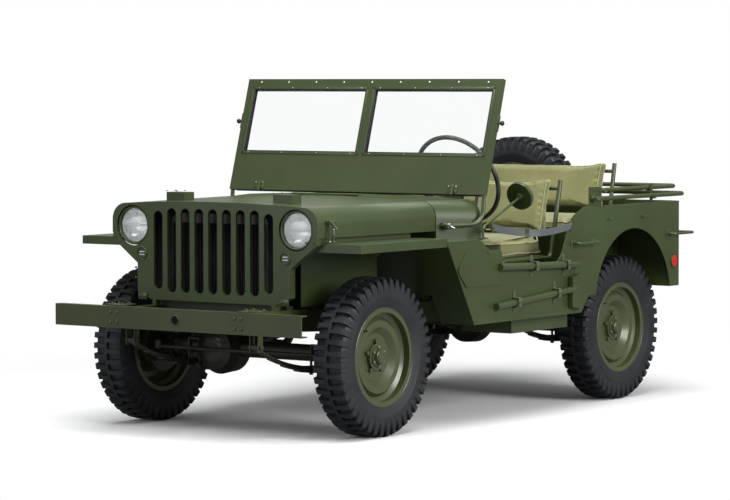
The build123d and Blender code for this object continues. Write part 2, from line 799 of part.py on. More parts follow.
# Lamps behind the grille, and the tail lamps
with BuildPart() as lamps:
    for side in (-1, 1):
        with BuildSketch(Plane(origin=(grille_x - 24, side * lamp_y, lamp_z), x_dir=(0, 1, 0), z_dir=(1, 0, 0))):
            Circle(lamp_r - 8)
        extrude(amount=-20)
        with BuildSketch(Plane(origin=(grille_x - 44, side * lamp_y, lamp_z), x_dir=(0, 1, 0), z_dir=(-1, 0, 0))):
            Circle(lamp_r - 8)
        extrude(amount=70, taper=28)
        rod((grille_x - 40, side * marker_y, marker_z), (grille_x + 4, side * marker_y, marker_z), marker_r - gap)
        block(
            (grille_x - 50, side * (lamp_y - lamp_r - 2), lamp_z - 15),
            (grille_x - lip_depth - gap, side * (lamp_y - lamp_r + 12), lamp_z + 15),
        )
        rod((tub_rear_x - 22, side * 650, 770), (tub_rear_x, side * 650, 770), 38)

# Hood: a shell between the grille and the cowl, with two rest blocks for the windshield
block_y = 303
with BuildPart() as hood:
    with BuildSketch(cross_plane(grille_x - gap)):
        arch_outline(hood_front_half + panel + gap, hood_front_z + panel + gap, hood_side_z, hood_shoulder)
    with BuildSketch(cross_plane(hood_rear_x + 6)):
        arch_outline(hood_rear_half, cowl_top_z, hood_side_z, hood_shoulder + 5)
    loft()
    with BuildSketch(cross_plane(grille_x + 1)):
        arch_outline(hood_front_half + gap, hood_front_z + gap, hood_side_z - 1, hood_shoulder)
    with BuildSketch(cross_plane(hood_rear_x + 5)):
        arch_outline(hood_rear_half - panel, cowl_top_z - panel, hood_side_z - 1, hood_shoulder + 5 - panel)
    loft(mode=Mode.SUBTRACT)
    block(
        (hood_rear_x + 3, -hinge_half, cowl_top_z - 2),
        (hood_rear_x + 34, hinge_half, cowl_top_z + 2),
    )
    rod((hood_rear_x + 3, -hinge_half, hinge_z), (hood_rear_x + 3, hinge_half, hinge_z), hinge_r)
    for side in (-1, 1):
        block(
            (front_axle_x + 165, side * block_y - 52, hood_front_z - 6),
            (front_axle_x + 235, side * block_y + 52, hood_front_z + 38),
        )

# Windshield: frame with a lower panel and a middle post, and the legs that curve forward to their pivots
wind_plane = Plane(
    origin=(wind_base_x, 0, wind_base_z),
    x_dir=(0, 1, 0),
    z_dir=(cos(radians(wind_tilt)), 0, sin(radians(wind_tilt))),
)
side_bar = 34
top_bar = 40
middle_bar = 26
with BuildPart() as windshield_frame:
    with BuildSketch(wind_plane):
        with Locations((0, wind_height / 2)):
            Rectangle(2 * wind_half, wind_height)
        pane_low = lower_panel + 12
        pane_high = wind_height - top_bar
        pane_width = wind_half - side_bar - middle_bar / 2
        for side in (-1, 1):
            with Locations((side * (middle_bar / 2 + pane_width / 2), (pane_low + pane_high) / 2)):
                Rectangle(pane_width, pane_high - pane_low, mode=Mode.SUBTRACT)
    extrude(amount=wind_depth / 2, both=True)
    with BuildSketch(wind_plane.offset(-wind_depth / 2)):
        with Locations((0, lower_panel / 2)):
            Rectangle(2 * (wind_half - side_bar), lower_panel - 16)
    extrude(amount=wind_depth - panel, mode=Mode.SUBTRACT)
    leg_y = wind_half - 10
    for side in (-1, 1):
        foot = (wind_base_x - sin(radians(wind_tilt)) * 20, side * leg_y, wind_base_z + 20)
        bent_tube(
            (
                foot,
                (wind_base_x + 10, side * leg_y, wind_pivot_z + 5),
                (wind_pivot_x, side * 660, wind_pivot_z),
            ),
            70,
            tube_r - 1,
        )
        rod((wind_pivot_x, side * 652, wind_pivot_z), (wind_pivot_x, side * 668, wind_pivot_z), 17)
        rod((wind_pivot_x, side * 640, wind_pivot_z), (wind_pivot_x, side * 680, wind_pivot_z), 7 + gap, Mode.SUBTRACT)

with BuildPart() as windshield_glass:
    with BuildSketch(wind_plane):
        for side in (-1, 1):
            with Locations((side * (middle_bar / 2 + pane_width / 2), (pane_low + pane_high) / 2)):
                Rectangle(pane_width - 2 * gap, pane_high - pane_low - 2 * gap)
    extrude(amount=3, both=True)

# Steering: knuckles, tie rod, column and wheel
knuckles = {}
for name, side in (("left", 1), ("right", -1)):
    with BuildPart() as knuckle:
        centre = (front_axle_x, side * king_pin_y, hub_z)
        with Locations(centre):
            Sphere(ball_r + 16)
        for way in (-1, 1):
            rod(centre, (front_axle_x, side * king_pin_y, hub_z + way * (ball_r + 32)), 30)
        rod(centre, (front_axle_x, side * backing_y, hub_z), 48)
        with Locations(centre):
            Sphere(ball_r + 5, mode=Mode.SUBTRACT)
        rod(
            (front_axle_x, side * king_pin_y, hub_z - ball_r - 24),
            (front_axle_x, side * king_pin_y, hub_z + ball_r + 24),
            pin_r + gap,
            Mode.SUBTRACT,
        )
        inside = sorted((side * (king_pin_y - 10), side * (king_pin_y - 100)))
        block(
            (front_axle_x - 90, inside[0], hub_z - ball_r - 5),
            (front_axle_x + 90, inside[1], hub_z + ball_r + 5),
            mode=Mode.SUBTRACT,
        )
        rod(
            (front_axle_x, side * (backing_y - 4), hub_z),
            (front_axle_x, side * backing_y, hub_z),
            drum_r - 2,
        )
        rod((front_axle_x, side * backing_y, hub_z), (front_axle_x, side * (wheel_y + 22), hub_z), spindle_r)
        arm = sorted((side * (arm_y - 14), side * (arm_y + 14)))
        block((front_axle_x + 62, arm[0], arm_z - 8), (front_axle_x + arm_x, arm[1], arm_z + 8))
        rod(
            (front_axle_x + arm_x, side * arm_y, arm_z - 8),
            (front_axle_x + arm_x, side * arm_y, arm_z + 8),
            18,
        )
    knuckles[name] = knuckle

with BuildPart() as tie_rod:
    rod((front_axle_x + arm_x, -arm_y, rod_z - 2), (front_axle_x + arm_x, arm_y, rod_z - 2), 8)
    for side in (-1, 1):
        rod(
            (front_axle_x + arm_x, side * arm_y, rod_z - 10),
            (front_axle_x + arm_x, side * arm_y, rod_z + 10),
            18,
        )

with BuildPart() as steering_column:
    rod(column_high, column_low, column_r)
    block(
        (column_low[0] - 70, spring_y - 60, rail_top_z + 11),
        (column_low[0] + 60, spring_y + 20, column_low[2] + 50),
    )

with BuildPart() as steering_wheel:
    steering_plane = Plane(origin=wheel_centre, x_dir=(0, 1, 0), z_dir=tuple(column_way))
    with BuildSketch(Plane(origin=wheel_centre, x_dir=(0, 1, 0), z_dir=tuple(column_way.cross(Vector(0, 1, 0))))):
        with Locations((steering_rim_r, 0)):
            Circle(11)
    revolve(axis=Axis(wheel_centre, tuple(column_way)))
    with BuildSketch(steering_plane.offset(-24)):
        Circle(34)
    extrude(amount=36)
    for number in range(3):
        turn = radians(90 + number * 120)
        end = wheel_mid + Vector(0, 1, 0) * (cos(turn) * steering_rim_r) + steering_plane.y_dir * (sin(turn) * steering_rim_r)
        rod(wheel_centre, tuple(end), 6)

# Wheel with its rim, dished disc, hub and brake drum, drawn round the Y axis with its outside at +Y
rim_half = (
    (0, well_r),
    (18, well_r),
    (30, bead_r - gap),
    (58, bead_r - gap),
    (58, rim_r),
    (rim_half_width, rim_r),
    (rim_half_width, bead_r - rim_wall),
    (32, bead_r - rim_wall),
    (20, well_r - rim_wall),
    (0, well_r - rim_wall),
)
disc_outline = (
    (14, well_r - rim_wall + 1),
    (36, 162),
    (36, 132),
    (12, 104),
    (12, 50),
    (12 - disc_wall, 50),
    (12 - disc_wall, 106),
    (36 - disc_wall, 135),
    (36 - disc_wall, 160),
    (14 - disc_wall, well_r - rim_wall + 1),
)
hub_outline = (
    (22 + gap, 0),
    (22 + gap, spindle_r + gap),
    (-54, spindle_r + gap),
    (-54, 44),
    (0, 60),
    (28, 60),
    (28, 36),
    (48, 32),
    (52, 26),
    (52, 0),
)
drum_outline = (
    (-54, drum_r),
    (12 - disc_wall, drum_r - 10),
    (12 - disc_wall, 55),
    (0, 55),
    (0, drum_r - drum_wall - 10),
    (-54, drum_r - drum_wall),
)
with BuildPart() as rim_pattern:
    with BuildSketch(Plane.YX):
        with BuildLine():
            Polyline(*rim_half, *[(-y, r) for y, r in reversed(rim_half) if y], close=True)
        make_face()
        with BuildLine():
            Polyline(*disc_outline, close=True)
        make_face()
    revolve(axis=Axis.Y)
with BuildPart() as wheel_pattern:
    add(rim_pattern.part)
    with BuildSketch(Plane.YX):
        for outline in (hub_outline, drum_outline):
            with BuildLine():
                Polyline(*outline, close=True)
            make_face()
    revolve(axis=Axis.Y)
    with BuildSketch(side_plane(12)):
        with PolarLocations(nut_circle_r, nut_count, start_angle=90):
            RegularPolygon(nut_r, 6)
    extrude(amount=-nut_height)

# Tyre: a carcass of flat facets, one to each lug, and lugs that run over both shoulders
half_turn = 180 / lug_count
shoulder_rise = tyre_half_width - crown_half
sidewall_depth = 30
with BuildPart() as tyre_pattern:
    with BuildSketch(side_plane(crown_half)):
        RegularPolygon(carcass_r, lug_count, major_radius=False, rotation=half_turn)
    extrude(amount=2 * crown_half)
    for side in (-1, 1):
        with BuildSketch(Plane(origin=(0, side * crown_half, 0), x_dir=(1, 0, 0), z_dir=(0, side, 0))):
            RegularPolygon(carcass_r, lug_count, major_radius=False, rotation=half_turn)
        extrude(amount=shoulder_rise, taper=degrees(atan2(carcass_r - shoulder_r, shoulder_rise)))
        # Sidewalls slope in from the shoulder to the bead
        with BuildSketch(Plane(origin=(0, side * tyre_half_width, 0), x_dir=(1, 0, 0), z_dir=(0, -side, 0))):
            RegularPolygon(shoulder_r, lug_count, major_radius=False, rotation=half_turn)
        sidewall_taper = degrees(atan2(shoulder_r - bead_r, sidewall_depth))
        extrude(amount=sidewall_depth, taper=sidewall_taper, mode=Mode.SUBTRACT)
    with BuildSketch(side_plane(tyre_half_width)):
        RegularPolygon(bead_r, lug_count, major_radius=False, rotation=half_turn)
    extrude(amount=2 * tyre_half_width, mode=Mode.SUBTRACT)
    for number in range(lug_count):
        turn = number * 360 / lug_count
        with BuildSketch(Plane(origin=(0, 0, 0), x_dir=(0, 1, 0), z_dir=Vector(1, 0, 0).rotate(Axis.Y, turn))):
            with BuildLine():
                Polyline(
                    (-crown_half, tyre_r),
                    (crown_half, tyre_r),
                    (tyre_half_width, shoulder_r),
                    (-tyre_half_width, shoulder_r),
                    close=True,
                )
            make_face()
        extrude(amount=lug_width / 2, both=True)

corners = (
    ("front_left", front_axle_x, 1),
    ("front_right", front_axle_x, -1),
    ("rear_left", rear_axle_x, 1),
    ("rear_right", rear_axle_x, -1),
)
wheels = {}
tyres = {}
for name, x, side in corners:
    with BuildPart() as wheel:
        add(wheel_pattern.part.rotate(Axis.Z, 0 if side > 0 else 180).moved(Location((x, side * wheel_y, hub_z))))
    with BuildPart() as tyre:
        add(tyre_pattern.part.rotate(Axis.Z, 0 if side > 0 else 180).moved(Location((x, side * wheel_y, hub_z))))
    wheels[name] = wheel
    tyres[name] = tyre

# Spare wheel on its carrier behind the right of the rear panel
spare_x = front_axle_x - rear_reach + tyre_half_width
spare_y = -290
spare_z = 924
with BuildPart() as spare_wheel:
    add(rim_pattern.part.rotate(Axis.Z, 90).moved(Location((spare_x, spare_y, spare_z))))
with BuildPart() as spare_tyre:
    add(tyre_pattern.part.rotate(Axis.Z, 90).moved(Location((spare_x, spare_y, spare_z))))
with BuildPart() as spare_carrier:
    block((tub_rear_x - 10, spare_y - 90, spare_z - 150), (tub_rear_x, spare_y + 90, spare_z + 20))
    disc_back_x = spare_x - 12 + disc_wall
    rod((tub_rear_x - 10, spare_y, spare_z), (disc_back_x + 10, spare_y, spare_z), 42)
    rod((disc_back_x + 10, spare_y, spare_z), (disc_back_x + gap, spare_y, spare_z), 88)
    rod((disc_back_x + gap, spare_y, spare_z), (disc_back_x - 30, spare_y, spare_z), 30)

# Seats
cushion_thick = 80


def seat(mid_y, half, front_x, rear_x, seat_z, back_top, lean, floor_z, foot):
    """Tubular frame and two cushions of one seat, as two builders; foot is the hinge eye's height, or 0."""
    pan_z = seat_z - cushion_thick
    bar_z = pan_z - tube_r - 4
    slope = lean / (back_top - 20 - bar_z)
    with BuildPart() as tubes:
        for side in (-1, 1):
            y = mid_y + side * (half - tube_r)
            bent_tube(
                (
                    (front_x, y, floor_z + foot),
                    (front_x, y, bar_z),
                    (rear_x, y, bar_z),
                    (rear_x - lean, y, back_top - 20),
                ),
                34,
                tube_r,
            )
            rod((rear_x + 60, y, floor_z), (rear_x + 60, y, bar_z), tube_r)
            if foot:
                rod((front_x, y - tube_r, floor_z + foot), (front_x, y + tube_r, floor_z + foot), eye_r)
                rod(
                    (front_x, y - tube_r, floor_z + foot),
                    (front_x, y + tube_r, floor_z + foot),
                    foot_pin_r + gap,
                    Mode.SUBTRACT,
                )
        rod(
            (front_x, mid_y - half + tube_r, floor_z + 60),
            (front_x, mid_y + half - tube_r, floor_z + 60),
            tube_r - 2,
        )
        top_z = back_top - 60
        top_x = rear_x - slope * (top_z - bar_z)
        rod((top_x, mid_y - half + tube_r, top_z), (top_x, mid_y + half - tube_r, top_z), tube_r - 2)
        block(
            (rear_x + 50, mid_y - half + tube_r, pan_z - 4),
            (front_x - 10, mid_y + half - tube_r, pan_z),
        )
    with BuildPart() as cushions:
        block(
            (rear_x + 40, mid_y - half + 2, pan_z),
            (front_x - 4, mid_y + half - 2, seat_z),
        )
        fillet(cushions.edges(), 14)
        low_z = seat_z + 15
        reach = (tube_r + gap) * sqrt(1 + slope ** 2)
        low_x = rear_x + reach - slope * (low_z - bar_z)
        high_x = rear_x + reach - slope * (back_top - bar_z)
        with BuildSketch(side_plane(mid_y + half - 24)):
            with BuildLine():
                Polyline((low_x, low_z), (low_x + 62, low_z), (high_x + 56, back_top), (high_x, back_top), close=True)
            make_face()
        extrude(amount=2 * half - 48)
    return tubes, cushions


seats = {row[0]: seat(*row[1:]) for row in seat_table}

# Folded top bows along both sides, crossing behind the seat
bows = {}
# Columns: name, pivot x, height, half width, x of the crossing part
for name, pivot_x, z, half, cross_x in (
    ("upper_bow", front_axle_x - 1700, upper_bow_z, upper_bow_y, front_axle_x - 2495),
    ("lower_bow", front_axle_x - 1635, lower_bow_z, lower_bow_y, front_axle_x - 2527),
):
    with BuildPart() as bow:
        bent_tube(
            ((pivot_x, -half, z), (cross_x, -half, z), (cross_x, half, z), (pivot_x, half, z)),
            60,
            tube_r,
        )
        for side in (-1, 1):
            rod((pivot_x, side * (half - 8), z), (pivot_x, side * (half + 8), z), 16)
            rod((pivot_x, side * (half - 20), z), (pivot_x, side * (half + 20), z), bow_pin_r + gap, Mode.SUBTRACT)
    bows[name] = bow

# Lids of the tool boxes and of the glove box
lids = {}
for name, side in (("toolbox_lid_left", 1), ("toolbox_lid_right", -1)):
    with BuildPart() as lid:
        block(
            (tub_rear_x + 8, side * 555, house_top_z + gap),
            (arch_centre_x - arch_foot - 8, side * 735, house_top_z + panel + gap),
        )
        barrel_z = house_top_z + gap + lid_hinge_r
        rod(
            (tub_rear_x + 8, side * (555 - lid_hinge_r), barrel_z),
            (arch_centre_x - arch_foot - 8, side * (555 - lid_hinge_r), barrel_z),
            lid_hinge_r,
        )
    lids[name] = lid
with BuildPart() as glovebox_lid:
    block(
        (dash_x - panel - gap, glove[0] - 8, glove[2] - 8),
        (dash_x - gap, glove[1] + 8, glove[3] + 8),
    )
    barrel = (dash_x - gap - lid_hinge_r, glove[2] - 8 - lid_hinge_r + 1)
    rod((barrel[0], glove[0] - 8, barrel[1]), (barrel[0], glove[1] + 8, barrel[1]), lid_hinge_r)

# Shovel and axe on the driver's side
with BuildPart() as shovel:
    with BuildSketch(side_plane(body_half + gap + 5)):
        with BuildLine():
            FilletPolyline(
                (front_axle_x - 805, 718),
                (front_axle_x - 790, 800),
                (front_axle_x - 500, 800),
                (front_axle_x - 425, 722),
                (front_axle_x - 500, 640),
                (front_axle_x - 790, 640),
                close=True,
                radius=30,
            )
        make_face()
    extrude(amount=5)
    rod((front_axle_x - 760, body_half + gap + 17, 720), (front_axle_x - 1440, body_half + gap + 17, 700), 17)
with BuildPart() as axe:
    rod((front_axle_x - 730, body_half + gap + 16, 540), (front_axle_x - 1420, body_half + gap + 16, 585), 16)
    with BuildSketch(side_plane(body_half + gap + 28)):
        with BuildLine():
            Polyline(
                (front_axle_x - 1375, 640),
                (front_axle_x - 1375, 500),
                (front_axle_x - 1465, 485),
                (front_axle_x - 1445, 655),
                close=True,
            )
        make_face()
    extrude(amount=24)

# Mirror on the driver's side
mirror_y = 762
mirror_r = 66
with BuildPart() as mirror_arm:
    bent_tube(
        (
            (front_axle_x - 680, mirror_y, ledge_z),
            (front_axle_x - 680, mirror_y, 905),
            (front_axle_x - 995, mirror_y, 1035),
        ),
        30,
        6,
    )
    rod((front_axle_x - 985, mirror_y, 1036), (front_axle_x - 1001, mirror_y, 1042), mirror_r)

# Grab handles on the sides and at the rear corners
with BuildPart() as grab_handles:
    for side in (-1, 1):
        y = side * body_half
        bent_tube(
            (
                (front_axle_x - 1420, y, 800),
                (front_axle_x - 1420, y + side * 40, 800),
                (front_axle_x - 1600, y + side * 40, 800),
                (front_axle_x - 1600, y, 800),
            ),
            16,
            7,
        )
        bent_tube(
            (
                (tub_rear_x + 160, y, 810),
                (tub_rear_x + 160, y + side * 40, 810),
                (tub_rear_x - 40, y + side * 40, 810),
                (tub_rear_x - 40, y - side * 95, 810),
                (tub_rear_x, y - side * 95, 810),
            ),
            24,
            7,
        )

# Pedals, each on a rod square to the toe board
with BuildPart() as pedals:
    # Columns: y of the middle, half width of the pad, way up the toe board, length of the rod
    for y, half, way_up, reach in ((415, 36, 150, 110), (250, 36, 150, 110), (180, 24, 100, 60)):
        foot_x = dash_x + way_up * toe_way_x - (panel + gap) * toe_way_z
        foot_z = front_floor_z + way_up * toe_way_z + (panel + gap) * toe_way_x
        pad_x = foot_x - reach * toe_way_z
        pad_z = foot_z + reach * toe_way_x
        rod((foot_x, y, foot_z), (pad_x, y, pad_z), 7)
        plate(
            side_plane(y + half),
            strip(
                (pad_x - 30 * toe_way_x, pad_z - 30 * toe_way_z),
                (pad_x + 30 * toe_way_x, pad_z + 30 * toe_way_z),
                8,
            ),
            2 * half,
        )

pieces = {
    "frame": frame,
    "cross_members": cross_members,
    "front_bumper": front_bumper,
    "rear_bumperettes": rear_bumperettes,
    "tow_hook": tow_hook,
    "engine": engine,
    "radiator": radiator,
    "gearbox": gearbox,
    "front_axle": front_axle,
    "rear_axle": rear_axle,
    "leaf_springs": leaf_springs,
    "propeller_shafts": propeller_shafts,
    "exhaust": exhaust,
    "tub": tub,
    "floor": floor,
    "wheel_houses": wheel_houses,
    "cowl": cowl,
    "front_fenders": front_fenders,
    "grille": grille,
    "lamps": lamps,
    "hood": hood,
    "windshield_frame": windshield_frame,
    "windshield_glass": windshield_glass,
    "knuckle_left": knuckles["left"],
    "knuckle_right": knuckles["right"],
    "tie_rod": tie_rod,
    "steering_column": steering_column,
    "steering_wheel": steering_wheel,
    "spare_wheel": spare_wheel,
    "spare_tyre": spare_tyre,
    "spare_carrier": spare_carrier,
    "driver_seat_frame": seats["driver"][0],
    "driver_seat_cushions": seats["driver"][1],
    "passenger_seat_frame": seats["passenger"][0],
    "passenger_seat_cushions": seats["passenger"][1],
    "rear_seat_frame": seats["rear"][0],
    "rear_seat_cushions": seats["rear"][1],
    "upper_bow": bows["upper_bow"],
    "lower_bow": bows["lower_bow"],
    "toolbox_lid_left": lids["toolbox_lid_left"],
    "toolbox_lid_right": lids["toolbox_lid_right"],
    "glovebox_lid": glovebox_lid,
    "shovel": shovel,
    "axe": axe,
    "mirror": mirror_arm,
    "grab_handles": grab_handles,
    "pedals": pedals,
}
for name, x, side in corners:
    pieces["wheel_" + name] = wheels[name]
    pieces["tyre_" + name] = tyres[name]

os.makedirs("parts", exist_ok=True)
for name, piece in pieces.items():
    piece.part.label = name
    export_step(piece.part, f"parts/{name}.step")
print(len(pieces), "pieces written")
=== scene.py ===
# %% [markdown]
# The car comes in as a fixed frame: every part already has its real size and place, in metres,
# with +X forward, +Y to the car's left and +Z up. Everything below either finishes those parts
# with a material or adds a detailed piece that rides on one of the moving bodies.

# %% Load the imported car
import json
from math import cos, exp, pi, radians, sin, sqrt, tan

import bmesh
import bpy
from mathutils import Matrix, Vector
from mathutils.bvhtree import BVHTree
from mathutils.noise import noise as noise_at


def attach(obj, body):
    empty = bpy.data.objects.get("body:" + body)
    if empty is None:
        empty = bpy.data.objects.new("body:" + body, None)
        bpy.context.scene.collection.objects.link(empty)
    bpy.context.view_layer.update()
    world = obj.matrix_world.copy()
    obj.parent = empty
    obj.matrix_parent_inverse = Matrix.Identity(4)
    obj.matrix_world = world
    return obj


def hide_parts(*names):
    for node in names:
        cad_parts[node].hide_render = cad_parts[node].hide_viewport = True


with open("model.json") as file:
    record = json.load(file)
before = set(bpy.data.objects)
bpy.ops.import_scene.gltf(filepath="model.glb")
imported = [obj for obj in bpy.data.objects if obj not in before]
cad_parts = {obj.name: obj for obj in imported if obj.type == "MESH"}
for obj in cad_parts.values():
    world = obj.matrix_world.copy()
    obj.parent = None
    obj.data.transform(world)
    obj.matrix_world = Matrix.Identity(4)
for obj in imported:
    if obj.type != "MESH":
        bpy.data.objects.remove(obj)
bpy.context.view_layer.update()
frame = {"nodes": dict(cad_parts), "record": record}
nodes = frame["nodes"]
print("parts in the frame:", len(nodes))

# %% [markdown]
# A few sizes are repeated from the design so that new pieces can be placed from them: the axles,
# the hub height and the half track. Points are written as distances from the front axle.

# %% Stations and heights
FRONT_AXLE = 1.0435
WHEELBASE = 2.032
HUB_Z = 0.3555
WHEEL_Y = 0.6225
SPARE_Y = -0.290
SPARE_Z = 0.924
NUT_RING_R = 0.0699
SPRING_Y = 0.349
GRILLE_X = FRONT_AXLE + 0.350
TUB_REAR_X = FRONT_AXLE - 2.480
BODY_HALF = 0.7875


def at(x, y, z):
    """A point given by its distance from the front axle, in metres."""
    return Vector((FRONT_AXLE + x, y, z))


# %% [markdown]
# The photograph was taken from the car's left front, low and with a long lens. The camera is
# placed by its yaw, pitch and roll; a long lens keeps the perspective as flat as in the picture.

# %% Camera
VIEW_YAW = radians(35.43)
VIEW_PITCH = radians(-3.16)
VIEW_ROLL = radians(-0.1)
lens_data = bpy.data.cameras.new("studio_camera")
lens_data.lens = 154.3
lens_data.sensor_width = 36.0
lens_data.clip_end = 100.0
camera = bpy.data.objects.new("studio_camera", lens_data)
bpy.context.collection.objects.link(camera)
bpy.context.scene.camera = camera
forward = Vector((-cos(VIEW_YAW) * cos(VIEW_PITCH), -sin(VIEW_YAW) * cos(VIEW_PITCH), sin(VIEW_PITCH)))
camera.location = (12.326, 8.61, 1.592)
camera.rotation_mode = "QUATERNION"
aim = forward.to_track_quat("-Z", "Y")
camera.rotation_quaternion = aim @ Matrix.Rotation(VIEW_ROLL, 4, "Z").to_quaternion()
print("camera at", tuple(round(c, 3) for c in camera.location))

# %% [markdown]
# The picture is shown with the plain Standard transform, so that white stays white. Studio light: a
# large soft lamp overhead, a strong one at the left side and a faint fill from the front, over a
# pale world. The camera sees plain white behind the car.

# %% World and lamps
bpy.context.scene.view_settings.view_transform = "Standard"
world = bpy.data.worlds.new("studio_world")
bpy.context.scene.world = world
world.use_nodes = True
tree = world.node_tree
tree.nodes.clear()
out = tree.nodes.new("ShaderNodeOutputWorld")
lit = tree.nodes.new("ShaderNodeBackground")
lit.inputs["Color"].default_value = (0.86, 0.87, 0.86, 1)
lit.inputs["Strength"].default_value = 0.42
seen = tree.nodes.new("ShaderNodeBackground")
seen.inputs["Color"].default_value = (1, 1, 1, 1)
seen.inputs["Strength"].default_value = 1.0
path = tree.nodes.new("ShaderNodeLightPath")
either = tree.nodes.new("ShaderNodeMath")
either.operation = "MAXIMUM"
mix = tree.nodes.new("ShaderNodeMixShader")
tree.links.new(path.outputs["Is Camera Ray"], either.inputs[0])
tree.links.new(path.outputs["Is Transmission Ray"], either.inputs[1])
tree.links.new(either.outputs[0], mix.inputs[0])
tree.links.new(lit.outputs[0], mix.inputs[1])
tree.links.new(seen.outputs[0], mix.inputs[2])
tree.links.new(mix.outputs[0], out.inputs["Surface"])


def lamp(name, place, target, size, watts):
    """A square soft lamp that faces the target."""
    data = bpy.data.lights.new(name, "AREA")
    data.shape = "SQUARE"
    data.size = size
    data.energy = watts
    light = bpy.data.objects.new(name, data)
    bpy.context.collection.objects.link(light)
    light.location = place
    light.rotation_mode = "QUATERNION"
    light.rotation_quaternion = (Vector(target) - Vector(place)).to_track_quat("-Z", "Y")
    return light


lamp("overhead", (1.0, 0.5, 5.5), (0, 0, 0.6), 5.0, 420)
lamp("left_key", (0.4, 7.2, 3.0), (0, 0, 0.6), 3.2, 430)
lamp("front_fill", (7.0, -2.0, 2.2), (0.8, 0, 0.6), 3.0, 70)

# %% [markdown]
# The floor is a pale disc. Near the car it is an ordinary matt surface, which keeps the shadow. For
# the camera it turns into plain white a few metres away, so no horizon line shows.

# %% Floor
floor_mesh = bmesh.new()
bmesh.ops.create_circle(floor_mesh, cap_ends=True, segments=64, radius=30)
floor_data = bpy.data.meshes.new("floor")
floor_mesh.to_mesh(floor_data)
floor_mesh.free()
floor = bpy.data.objects.new("floor", floor_data)
bpy.context.collection.objects.link(floor)
floor_finish = bpy.data.materials.new("pale_floor")
floor_finish.use_nodes = True
tree = floor_finish.node_tree
matt = tree.nodes["Principled BSDF"]
matt.inputs["Base Color"].default_value = (0.93, 0.93, 0.94, 1)
matt.inputs["Roughness"].default_value = 0.9
plain = tree.nodes.new("ShaderNodeEmission")
plain.inputs["Color"].default_value = (1, 1, 1, 1)
where = tree.nodes.new("ShaderNodeTexCoord")
reach = tree.nodes.new("ShaderNodeVectorMath")
reach.operation = "LENGTH"
fade = tree.nodes.new("ShaderNodeMapRange")
fade.interpolation_type = "SMOOTHSTEP"
fade.inputs["From Min"].default_value = 1.9
fade.inputs["From Max"].default_value = 3.6
seen_by = tree.nodes.new("ShaderNodeLightPath")
for_camera = tree.nodes.new("ShaderNodeMath")
for_camera.operation = "MULTIPLY"
blend = tree.nodes.new("ShaderNodeMixShader")
tree.links.new(where.outputs["Object"], reach.inputs[0])
tree.links.new(reach.outputs["Value"], fade.inputs["Value"])
tree.links.new(fade.outputs["Result"], for_camera.inputs[0])
tree.links.new(seen_by.outputs["Is Camera Ray"], for_camera.inputs[1])
tree.links.new(for_camera.outputs[0], blend.inputs[0])
tree.links.new(matt.outputs[0], blend.inputs[1])
tree.links.new(plain.outputs[0], blend.inputs[2])
dim = tree.nodes.new("ShaderNodeBsdfDiffuse")
dim.inputs["Color"].default_value = (0.26, 0.26, 0.27, 1)
direct = tree.nodes.new("ShaderNodeMath")
direct.operation = "MAXIMUM"
bounce = tree.nodes.new("ShaderNodeMixShader")
tree.links.new(seen_by.outputs["Is Camera Ray"], direct.inputs[0])
tree.links.new(seen_by.outputs["Is Transmission Ray"], direct.inputs[1])
tree.links.new(direct.outputs[0], bounce.inputs[0])
tree.links.new(dim.outputs[0], bounce.inputs[1])
tree.links.new(blend.outputs[0], bounce.inputs[2])
tree.links.new(bounce.outputs[0], tree.nodes["Material Output"].inputs["Surface"])
floor_data.materials.append(floor_finish)

# %% [markdown]
# Each finish starts from one Principled shader. A helper makes it, and small functions add the
# detail a real surface has: faint cloudy differences in colour, a fine bump and uneven gloss.

# %% Material helpers


def finish_of(name, color, roughness, metallic=0.0):
    """A new material with its Principled shader, ready for detail."""
    material = bpy.data.materials.new(name)
    material.use_nodes = True
    shader = material.node_tree.nodes["Principled BSDF"]
    shader.inputs["Base Color"].default_value = (*color, 1)
    shader.inputs["Roughness"].default_value = roughness
    shader.inputs["Metallic"].default_value = metallic
    return material


def noise_on(material, scale, detail=4.0):
    """A noise texture that reads Object coordinates."""
    tree = material.node_tree
    where = tree.nodes.new("ShaderNodeTexCoord")
    noise = tree.nodes.new("ShaderNodeTexNoise")
    noise.inputs["Scale"].default_value = scale
    noise.inputs["Detail"].default_value = detail
    tree.links.new(where.outputs["Object"], noise.inputs["Vector"])
    return noise


def clouded(material, scale, colors, low=0.35, high=0.65):
    """Colour that drifts between two shades over the surface."""
    tree = material.node_tree
    noise = noise_on(material, scale)
    ramp = tree.nodes.new("ShaderNodeValToRGB")
    ramp.color_ramp.elements[0].position = low
    ramp.color_ramp.elements[1].position = high
    ramp.color_ramp.elements[0].color = (*colors[0], 1)
    ramp.color_ramp.elements[1].color = (*colors[1], 1)
    tree.links.new(noise.outputs["Fac"], ramp.inputs["Fac"])
    tree.links.new(ramp.outputs["Color"], tree.nodes["Principled BSDF"].inputs["Base Color"])
    return ramp


def uneven_gloss(material, scale, low, high):
    """Roughness that varies between two values."""
    tree = material.node_tree
    noise = noise_on(material, scale)
    spread = tree.nodes.new("ShaderNodeMapRange")
    spread.inputs["To Min"].default_value = low
    spread.inputs["To Max"].default_value = high
    tree.links.new(noise.outputs["Fac"], spread.inputs["Value"])
    tree.links.new(spread.outputs["Result"], tree.nodes["Principled BSDF"].inputs["Roughness"])


def bumped(material, height_socket, strength, distance):
    """A bump on the shader's normal from a height."""
    tree = material.node_tree
    bump = tree.nodes.new("ShaderNodeBump")
    bump.inputs["Strength"].default_value = strength
    bump.inputs["Distance"].default_value = distance
    tree.links.new(height_socket, bump.inputs["Height"])
    tree.links.new(bump.outputs["Normal"], tree.nodes["Principled BSDF"].inputs["Normal"])


# %% [markdown]
# The paint is olive drab, sprayed and lightly polished: a thin clear gloss over a slightly cloudy
# green, with the faint ripple of spray paint. The frame, bumper and wheels are a yellower green.

# %% Paints


